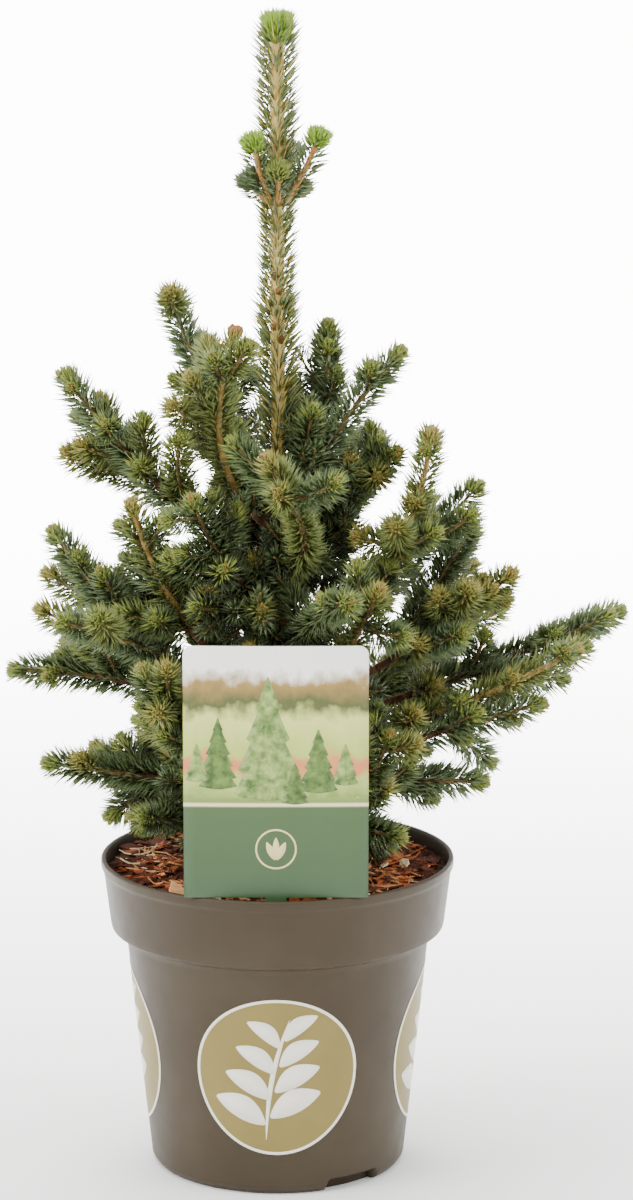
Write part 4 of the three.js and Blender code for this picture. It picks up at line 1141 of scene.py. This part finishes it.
def grow_fine(parent, shoots, draw, number):
    """Pairs of twigs, evenly along a stem. Each is a share of its parent, less towards the tip."""
    span = parent["length"] * (fine["last"] - fine["first"])
    steps = max(2, round(span / fine["spacing"]) + 1)
    most, fade = fine["fade"]
    for step, at in enumerate(np.linspace(fine["first"], fine["last"], steps)):
        reach = np.clip(parent["length"] * fine["share"] * (most - fade * at), *fine["reach"])
        roll = 90 * ((step + number) % 2)
        for way in pair_on(parent, at, reach, fine["spread"], roll, draw):
            twig = fine_twig(parent, *way)
            if deep_inside(twig["curve"][2]):
                keep_if_room(twig, shoots, fine)


twigs = []
for number, mass in enumerate(masses):
    draw = seeded_draw(500 + number)
    for count, parent in enumerate(mass["shoots"]):
        if parent["length"] >= fine["least"]:
            grow_fine(parent, twigs, draw, count)
print(len(twigs), "finer twigs")

# %% [markdown]
# ## Trunk and boughs
#
# Young spruce wood is brown and flaky at the foot, and golden tan with small pegs where needles
# stand. The trunk is one surface of height and bearing. Its radius is the taper of the solid, plus
# ridges and flakes made of noise, plus a small swelling at each whorl of boughs.

# %% Bark relief
def bark_finish(name, colors, scale, roughness, grain=900.0, depth=0.0005, rise=0.6, specular=0.3):
    """Bark whose marks are drawn out along the height."""
    return mottled_finish(name, colors, scale, roughness, grain, depth, (1, 1, rise), specular)


brown = [(52, 34, 22), (86, 56, 35), (120, 84, 54)]
golden = [(178, 144, 70), (216, 186, 106), (238, 218, 152)]
tan = [(110, 84, 40), (150, 120, 62), (184, 156, 96)]
orange = [(150, 96, 44), (188, 136, 72), (212, 172, 108)]
olive = [(78, 62, 32), (106, 88, 48), (134, 110, 62)]
wood = bark_finish("brown_bark", brown, 210.0, 0.82, 800.0, 0.0008, 0.45, 0.25)
young_wood = bark_finish("golden_bark", golden, 240.0, 0.62)
tan_wood = bark_finish("tan_shoot_bark", tan, 260.0, 0.66, depth=0.0006)
whorl_wood = bark_finish("orange_bark", orange, 260.0, 0.64)
olive_wood = bark_finish("olive_bark", olive, 240.0, 0.7)
knots = {"heights": (186, 208, 236, 262, 306, 342, 524), "size": 0.16, "reach": 4.0}
lobes = {"count": 5, "size": 0.16, "fade": 14.0, "turn": 1.0}


def trunk_piece(name, low, high, rows, columns, finish, least=0.0):
    """Rings of the trunk's radius, with lobes of root flare, whorl swellings and relief. The pegs
    of the needles keep a leader's radius from falling under the least."""
    z, a = np.linspace(low, high, rows), around(columns)
    middle, radius = trunk_at(z)
    off = (z[:, None] - knots["heights"]) / knots["reach"]
    swell = knots["size"] * np.exp(-(off**2)).sum(1)
    fade = lobes["size"] * np.exp(-(z - trunk["foot"]) / lobes["fade"])
    flare = fade[:, None] * np.cos(lobes["count"] * a + lobes["turn"])
    r = np.maximum(radius, least)[:, None] * (1 + swell[:, None] + flare)
    ring = np.stack([r * np.cos(a), r * np.sin(a), np.zeros_like(r)], -1)
    points = relief(middle[:, None] + ring, middle[:, None], 0.09, 2.6)
    return make_piece(name, points, tube_faces(1, rows, columns), finish, ["trunk"])


trunk_piece("trunk_old_wood", trunk["foot"] - 3, 372.0, 240, 36, wood)
trunk_piece("trunk_leader_wood", 368.0, trunk["tip"] + 2, 200, 20, young_wood, 3.7)
t = np.linspace(0, 1, 26)
for mass in masses:
    if mass["bough"]:
        name, thick = f"bough_{mass['name']}", mass["bough"]["radius"]
        line = point_on(mass["bough"]["curve"][None], t[:, None])[:, 0]
        radius = thick + (bough_sizes["tip_radius"] - thick) * t
        make_tubes(f"{name}_wood", line[None], radius, 14, wood, [name], (0.1, 2.2))
print("trunk and boughs made")

# %% [markdown]
# ## Stems of the shoots
#
# The shoots are thin tapered tubes along their bends. All the shoots of one order are worked out
# together, as one array, and joined into one mesh, because a thousand separate objects would be slow
# to handle. The inner half of a main shoot is old brown wood, and the rest is olive. A few boughs
# that catch the light are golden tan for most of their length.

# %% Stems
def curves_of(shoots):
    """The bends of these shoots and their lengths, as two arrays."""
    return np.array([s["curve"] for s in shoots]), np.array([s["length"] for s in shoots])


def stem_piece(name, shoots, span, rows, thick, thin, finish):
    """Tubes along these shoots between two shares of their length, with the relief of pegs."""
    t, curves = np.linspace(*span, rows), curves_of(shoots)[0]
    line = point_on(curves[:, None], np.broadcast_to(t, (len(curves), rows)))
    radius = thick + (thin - thick) * t
    return make_tubes(name, line, radius, 6, finish, mass_nodes, (0.16, 1.7))


mass_nodes = [name for name in node_names if name.startswith("needles_")]
mass_names = [mass["name"] for mass in masses]
is_golden = np.isin(mass_names, ["left_candle", "left_low", "right_leader", "right_gold"])
mains = [mass["main"] for mass in masses]
sides = [s for mass in masses for s in mass["shoots"][1:]]
bright = [main for main, lit in zip(mains, is_golden) if lit]
dull = [main for main, lit in zip(mains, is_golden) if not lit]
stem_piece("stems_main_old", dull, (0, 0.56), 20, 2.2, 1.4, wood)
stem_piece("stems_main_young", dull, (0.55, 0.97), 16, 2.1, 1.15, olive_wood)
stem_piece("stems_main_inner", bright, (0, 0.3), 12, 2.7, 2.4, wood)
stem_piece("stems_main_golden", bright, (0.29, 0.97), 28, 2.3, 1.4, tan_wood)
stem_piece("stems_side", sides, (0, 0.9), 12, 1.35, 0.85, olive_wood)
stem_piece("stems_whorl", whorl_shoots, (0, 0.9), 18, 1.8, 1.3, whorl_wood)
stem_piece("stems_fine", twigs, (0, 0.9), 8, 0.9, 0.6, olive_wood)
print(len(mains), len(sides), len(twigs), "stems of three orders,", len(whorl_shoots), "in the whorl")

# %% Buds
def buds(name, tips, ways, lengths, radii, finish, rows=7, sides=5):
    """Small scaly cones with round shoulders: the radius is r sin(pi v)^0.6, stepped like scales."""
    v = np.linspace(0.04, 0.99, rows)
    line = tips[:, None] + ways[:, None] * ((v - 0.3) * lengths[:, None])[..., None]
    steps = 1 + 0.16 * ((v * 3.2) % 1)
    radius = radii[:, None] * np.sin(np.pi * v) ** 0.6 * steps * (1 - 0.25 * v)
    return make_tubes(name, line, radius, sides, finish, mass_nodes)


def level_across(along):
    """The level vector square to each direction, or where it stands upright, the one square to X."""
    return unit(np.cross(along, np.where(np.abs(along[:, 2:]) > 0.95, X_AXIS, UP)))


def sprays(curves, lengths, number, back, size, lean):
    """Short straight axes that share out the end of each stem. They start this far back from its tip:
    the first goes on along it, and the others lean out evenly round it."""
    stem, rank = np.repeat(np.arange(len(curves)), number), np.tile(np.arange(number), len(curves))
    at = np.maximum(0.25, 1 - back / lengths[stem])
    foot, along = point_on(curves[stem], at), heading_on(curves[stem], at)
    level = level_across(along)
    out = swing(level, np.cross(level, along), rank * 2 * np.pi / (number - 1) + stem)
    way = swing(along, out, np.radians(lean) * (rank > 0))
    return np.stack([foot, foot + way * size / 2, foot + way * size], 1), stem


bud_colors = [(86, 54, 20), (124, 82, 30), (152, 112, 50)]
bud_finish = mottled_finish("bud_scales", bud_colors, 500.0, 0.55, 1500.0, 0.0003)
bud = {
    "length": 4.2, "radius": 1.5, "side_size": 0.72, "candle_size": 1.5, "vary": (0.85, 1.15),
    "main_share": 0.5, "side_share": 0.14, "leader_length": 6.2, "leader_radius": 2.6,
}
ends = mains + sides
curves, lengths = curves_of(ends)
count = len(mains)
main_sprays, main_of = sprays(curves[:count], lengths[:count], 5, 10.0, 9.0, 12.0)
side_sprays, side_of = sprays(curves[count:], lengths[count:], 4, 9.0, 8.0, 9.0)
side_of = side_of + count
rng = np.random.default_rng(21)
candle_end = main_of == mass_names.index("left_candle")
big = candle_end | (rng.uniform(0, 1, len(main_sprays)) < bud["main_share"])
small = rng.uniform(0, 1, len(side_sprays)) < bud["side_share"]
chosen = np.concatenate([main_sprays[big], side_sprays[small]])
size = np.where(candle_end[big], bud["candle_size"], 1.0)
size = np.concatenate([size, np.full(small.sum(), bud["side_size"])])
size = size * rng.uniform(*bud["vary"], len(chosen))
ways = unit(chosen[:, 2] - chosen[:, 0])
buds("buds_tip", chosen[:, 2], ways, bud["length"] * size, bud["radius"] * size, bud_finish)
spots = np.array([
    [480, 250], [472, 285], [453, 262], [446, 300], [500, 120], [466, 60], [524, 270], [527, 200],
    [519, 320], [530, 20],
])
middle, radius = trunk_at(spots[:, 0])
bearing, one = np.radians(spots[:, 1]), np.ones(len(spots))
out = unit(np.stack([np.cos(bearing), np.sin(bearing), 0.9 * one], -1))
foot = middle + out * (radius + 0.8)[:, None]
buds("buds_leader", foot, out, bud["leader_length"] * one, bud["leader_radius"] * one, bud_finish)
print(len(chosen), "end buds")

# %% [markdown]
# ## Needles
#
# A spruce needle is a stiff edged spike of about a centimetre. Each one is a spindle of five
# points: its foot, three corners at its thickest place, and its tip. They stand all round a shoot by
# the golden angle, and open wide along it. Its end parts into a few short axes, whose needles are
# shorter, crowded and turned forwards, and together they make a blunt round tuft.

# %% Needles along stems
needle = {
    "width": 1.15, "blend": 13.0, "short": 5.0, "golden_angle": 137.508, "seed": 40,
    "next_stem": 53.0, "spin_error": 0.3, "slant_error": 6.0, "lift": 0.25, "tip_loss": 0.45,
    "root_share": 0.62, "root_reach": 22.0, "belly": 0.42, "bow": 0.05,
    "long_vary": (0.84, 1.1), "wide_vary": (0.85, 1.1),
}


def needle_points(curves, start, end, lengths, coat, seed):
    """Needles between two shares of many bends, all at once. The n-th on a stem looks 137.5 n
    degrees round it, lifted a little towards the light. The way of each is cos s along the stem plus
    sin s out of it, and s falls from the first slant to the second within the tuft."""
    radius, density, size, tuft, slants = coat
    rng = np.random.default_rng(seed)
    counts = np.maximum(4, (end - start) * lengths * density).astype(int)
    stem = np.repeat(np.arange(len(counts)), counts)
    rank = np.arange(len(stem)) - np.repeat(np.cumsum(counts) - counts, counts)
    at = start[stem] + (end - start)[stem] * (rank + rng.uniform(0.2, 0.8, len(stem))) / counts[stem]
    foot, along = point_on(curves[stem], at), heading_on(curves[stem], at)
    level = level_across(along)
    spin = np.radians(rank * needle["golden_angle"] + stem * needle["next_stem"])
    spin = spin + rng.normal(0, needle["spin_error"], len(stem))
    out = swing(level, np.cross(level, along), spin)
    out = unit(out + needle["lift"] * (UP - along * along[:, 2:]))
    left = (1 - at) * lengths[stem]
    near = np.clip(1 - left / tuft, 0, 1)
    slant = slants[0] + (slants[1] - slants[0]) * near**0.7
    slant = np.radians(slant + rng.normal(0, needle["slant_error"], len(stem)))
    way = swing(along, out, slant)
    long = size * (1 - needle["tip_loss"] * near) * rng.uniform(*needle["long_vary"], len(stem))
    long *= np.clip(needle["root_share"] + at * lengths[stem] / needle["root_reach"], 0, 1)
    root = foot + out * radius * 0.7
    across = unit(np.cross(way, along))
    thick = np.cross(way, across)
    middle = root + (way * needle["belly"] + out * needle["bow"]) * long[:, None]
    wide = needle["width"] * rng.uniform(*needle["wide_vary"], len(stem))[:, None] / 2
    ring = [middle + swing(across, thick, turn) * wide for turn in around(3)]
    return np.stack([root, *ring, root + way * long[:, None]], axis=1), stem, left


spindle = np.array([[0, 2, 1], [0, 3, 2], [0, 1, 3], [4, 1, 2], [4, 2, 3], [4, 3, 1]])
print("a needle has", len(spindle), "faces")

# %% Colours dealt out by spray, with painted shade inside the crown
tints = {
    "shade": (54, 64, 32), "deep": (76, 92, 48), "blue": (98, 114, 74), "moss": (104, 114, 52),
    "fresh": (126, 136, 58), "gold": (146, 138, 64), "pale": (188, 172, 92), "lime": (134, 164, 48),
}
needle_finishes = {
    name: plain_finish(f"needles_{name}", color, 0.46, 0.45) for name, color in tints.items()
}
tips = point_on(curves, np.ones(len(ends)))
axis = trunk_at(curves[:, 1, 2])[0]
reach_out = np.linalg.norm((tips - axis) * [1, 0.8, 0.6], axis=1)
rng = np.random.default_rng(33)
luck = rng.uniform(0, 1, len(ends))
# Painted shade and light: the nearer a spray's tip lies to the trunk and the lower it stands, the
# darker its body tint, from shade and deep to blue and moss, partly at random.
outer = np.clip(np.maximum((reach_out - 30) / 95, (tips[:, 2] - 370) / 90), 0, 1)
body_tint = np.select(
    [luck + 0.75 * outer < 0.42, luck + 0.6 * outer < 0.85, luck < 0.62], [0, 1, 2], 3
)
# Painted shade on the tips too: inner, low tips get the darker moss, and the others fresh or gold at
# random.
tip_tint = np.select([outer + 0.5 * luck < 0.35, luck < 0.72], [3, 4], 5)
warm = np.concatenate([is_golden, np.zeros(len(sides), dtype=bool)])
body_tint, tip_tint = np.where(warm, 3, body_tint), np.where(warm, 5, tip_tint)
print("sprays of each body colour:", np.bincount(body_tint), "and tip colour:", np.bincount(tip_tint))

# %% Growing the needles
needle_sets, tint_sets = [], []
blending = np.random.default_rng(40)


def grow_needles(curves, start, stop, coat, body, tip=None):
    """Needles from a start to so far short of the end, in millimetres. A stem has one tint for its
    body and one for its tip, and the two mingle more and more over the blend before the tip."""
    lengths = np.linalg.norm(np.diff(curves, axis=1), axis=2).sum(1)
    seed = needle["seed"] + len(needle_sets)
    span = start / lengths, 1 - stop / lengths
    points, stem, left = needle_points(curves, *span, lengths, coat, seed)
    body = np.broadcast_to(body, len(curves))
    tip = body if tip is None else np.broadcast_to(tip, len(curves))
    fresh = 1.15 - left / needle["blend"] > blending.uniform(0, 1, len(left))
    needle_sets.append(points)
    tint_sets.append(np.where(fresh, tip[stem], body[stem]))


def leader_part(low, high):
    """A bend of the trunk's own middle line between two heights."""
    return np.array([[trunk_at(z)[0] for z in (low, (low + high) / 2, high)]])


# A coat holds how far out the needles stand, how many there are to a millimetre, their length, the
# length of the tuft, and their slants along the stem and at its tip.
is_main = np.arange(len(ends)) < count
coats = {
    "shoot": (1.3, np.where(warm, 4.2, 6.8), 13.4, 15.0, (56, 30)),
    "main_tuft": (0.9, np.where(candle_end, 4.4, 6.2), 6.6, 7.0, (46, 14)),
    "side_tuft": (0.7, 4.6, 6.2, 6.0, (44, 14)),
    "twig": (0.8, 3.4, 10.6, 8.0, (62, 24)),
    "whorl": (1.7, 4.6, 11.5, 12.0, (50, 34)),
    "whorl_tuft": (0.9, 7.0, 11.0, 6.0, (36, 12)),
    "crest": (1.2, 8.0, 15.0, 13.0, (40, 10)),
}
inner, short = np.where(is_main, 0.16 * lengths, 1.5), needle["short"]
grow_needles(curves, inner, short, coats["shoot"], body_tint, tip_tint)
grow_needles(main_sprays, 0.4, 0.0, coats["main_tuft"], tip_tint[main_of])
grow_needles(side_sprays, 0.4, 0.0, coats["side_tuft"], tip_tint[side_of])
# Painted shade: the finer twigs all stand deep inside the crown, so their needles get the darkest
# tints, shade or deep, with deep or blue towards their tips.
twig_shade_tint = rng.integers(0, 2, len(twigs))
grow_needles(curves_of(twigs)[0], 1.0, 2.0, coats["twig"], twig_shade_tint, twig_shade_tint + 1)
whorl_curves, whorl_lengths = curves_of(whorl_shoots)
whorl_sprays, whorl_of = sprays(whorl_curves, whorl_lengths, 6, 10.0, 8.0, 26.0)
whorl_tip = np.array([7, 7, 1, 4, 1, 3])[:len(whorl_shoots)]
grow_needles(whorl_curves, 5.0, short, coats["whorl"], 2, whorl_tip)
grow_needles(whorl_sprays, 0.4, 0.0, coats["whorl_tuft"], whorl_tip[whorl_of])
for low, high, size in [(350.0, 468.0, 16.4), (460.0, 512.0, 12.6), (504.0, 610.0, 14.8)]:
    for tint, density in [(6, 1.5), (2, 3.5), (3, 2.4)]:
        grow_needles(leader_part(low, high), 0.0, 0.0, (3.8, density, size, 2.0, (47, 42)), tint)
crest, crest_length = leader_part(560.0, 618.0), np.array([58.0])
grow_needles(sprays(crest, crest_length, 8, 15.0, 13.0, 22.0)[0], 0.5, 0.0, coats["crest"], 7)
spikes, spike_tint = np.concatenate(needle_sets), np.concatenate(tint_sets)
print([len(points) for points in needle_sets], "needles,", len(spikes) * len(spindle), "faces")

# %% Joining them by colour
most = 32000
for number, (tint, finish) in enumerate(needle_finishes.items()):
    chosen = spikes[spike_tint == number]
    for part, first in enumerate(range(0, len(chosen), most)):
        points, name = chosen[first:first + most], f"needles_{tint}_{part}"
        faces = ((np.arange(len(points)) * 5)[:, None, None] + spindle).reshape(-1, 3)
        make_piece(name, points, faces, finish, mass_nodes)
print("needles joined by", len(tints), "colours")

# %% [markdown]
# ## Floor and light
#
# The plant stands on a plain pale floor that runs on as its own background. The light is soft, as in
# a studio: a large lamp overhead, one on the left, a weaker one on the right, a broad one that only
# lights the floor behind, and an even sky.

# %% Floor
floor_size = 16000.0
floor_points = np.array([[-1, -1, 0], [1, -1, 0], [1, 1, 0], [-1, 1, 0]]) * [floor_size, floor_size, 1]
floor_mesh = bpy.data.meshes.new("floor")
floor_mesh.from_pydata((floor_points * MM - [0, 0, 0.0002]).tolist(), [], [(0, 1, 2, 3)])
floor = bpy.data.objects.new("floor", floor_mesh)
bpy.context.scene.collection.objects.link(floor)
floor_mesh.materials.append(plain_finish("pale_floor", (250, 250, 249), 0.85, 0.1))
print("floor ready")


# %% Lamps
def area_lamp(name, place, aim, size, power, spread=180.0):
    """A square lamp in metres that faces its aim. A small spread keeps its beam narrow."""
    lamp = bpy.data.lights.new(name, "AREA")
    lamp.size, lamp.energy, lamp.spread = size, power, math.radians(spread)
    holder = bpy.data.objects.new(name, lamp)
    holder.location = place
    way = np.array(aim) - np.array(place)
    holder.rotation_euler = (
        math.atan2(math.hypot(way[0], way[1]), -way[2]), 0.0, math.atan2(way[1], way[0]) - math.pi / 2
    )
    bpy.context.scene.collection.objects.link(holder)


area_lamp("left", (-2.0, -1.0, 1.3), (0, 0, 0.3), 1.2, 52.0)
area_lamp("right", (2.0, -0.9, 1.1), (0, 0, 0.3), 1.2, 30.0)
area_lamp("top", (-0.2, 0.0, 2.7), (0, 0, 0.2), 2.0, 72.0)
area_lamp("behind", (0.0, 4.8, 2.2), (0, 4.8, 0), 7.8, 2500.0, 70.0)
world = bpy.data.worlds.new("studio")
bpy.context.scene.world = world
world.use_nodes = True
world.node_tree.nodes["Background"].inputs["Color"].default_value = (1.0, 1.0, 1.0, 1.0)
world.node_tree.nodes["Background"].inputs["Strength"].default_value = 1.4
print("four lamps and an even sky")
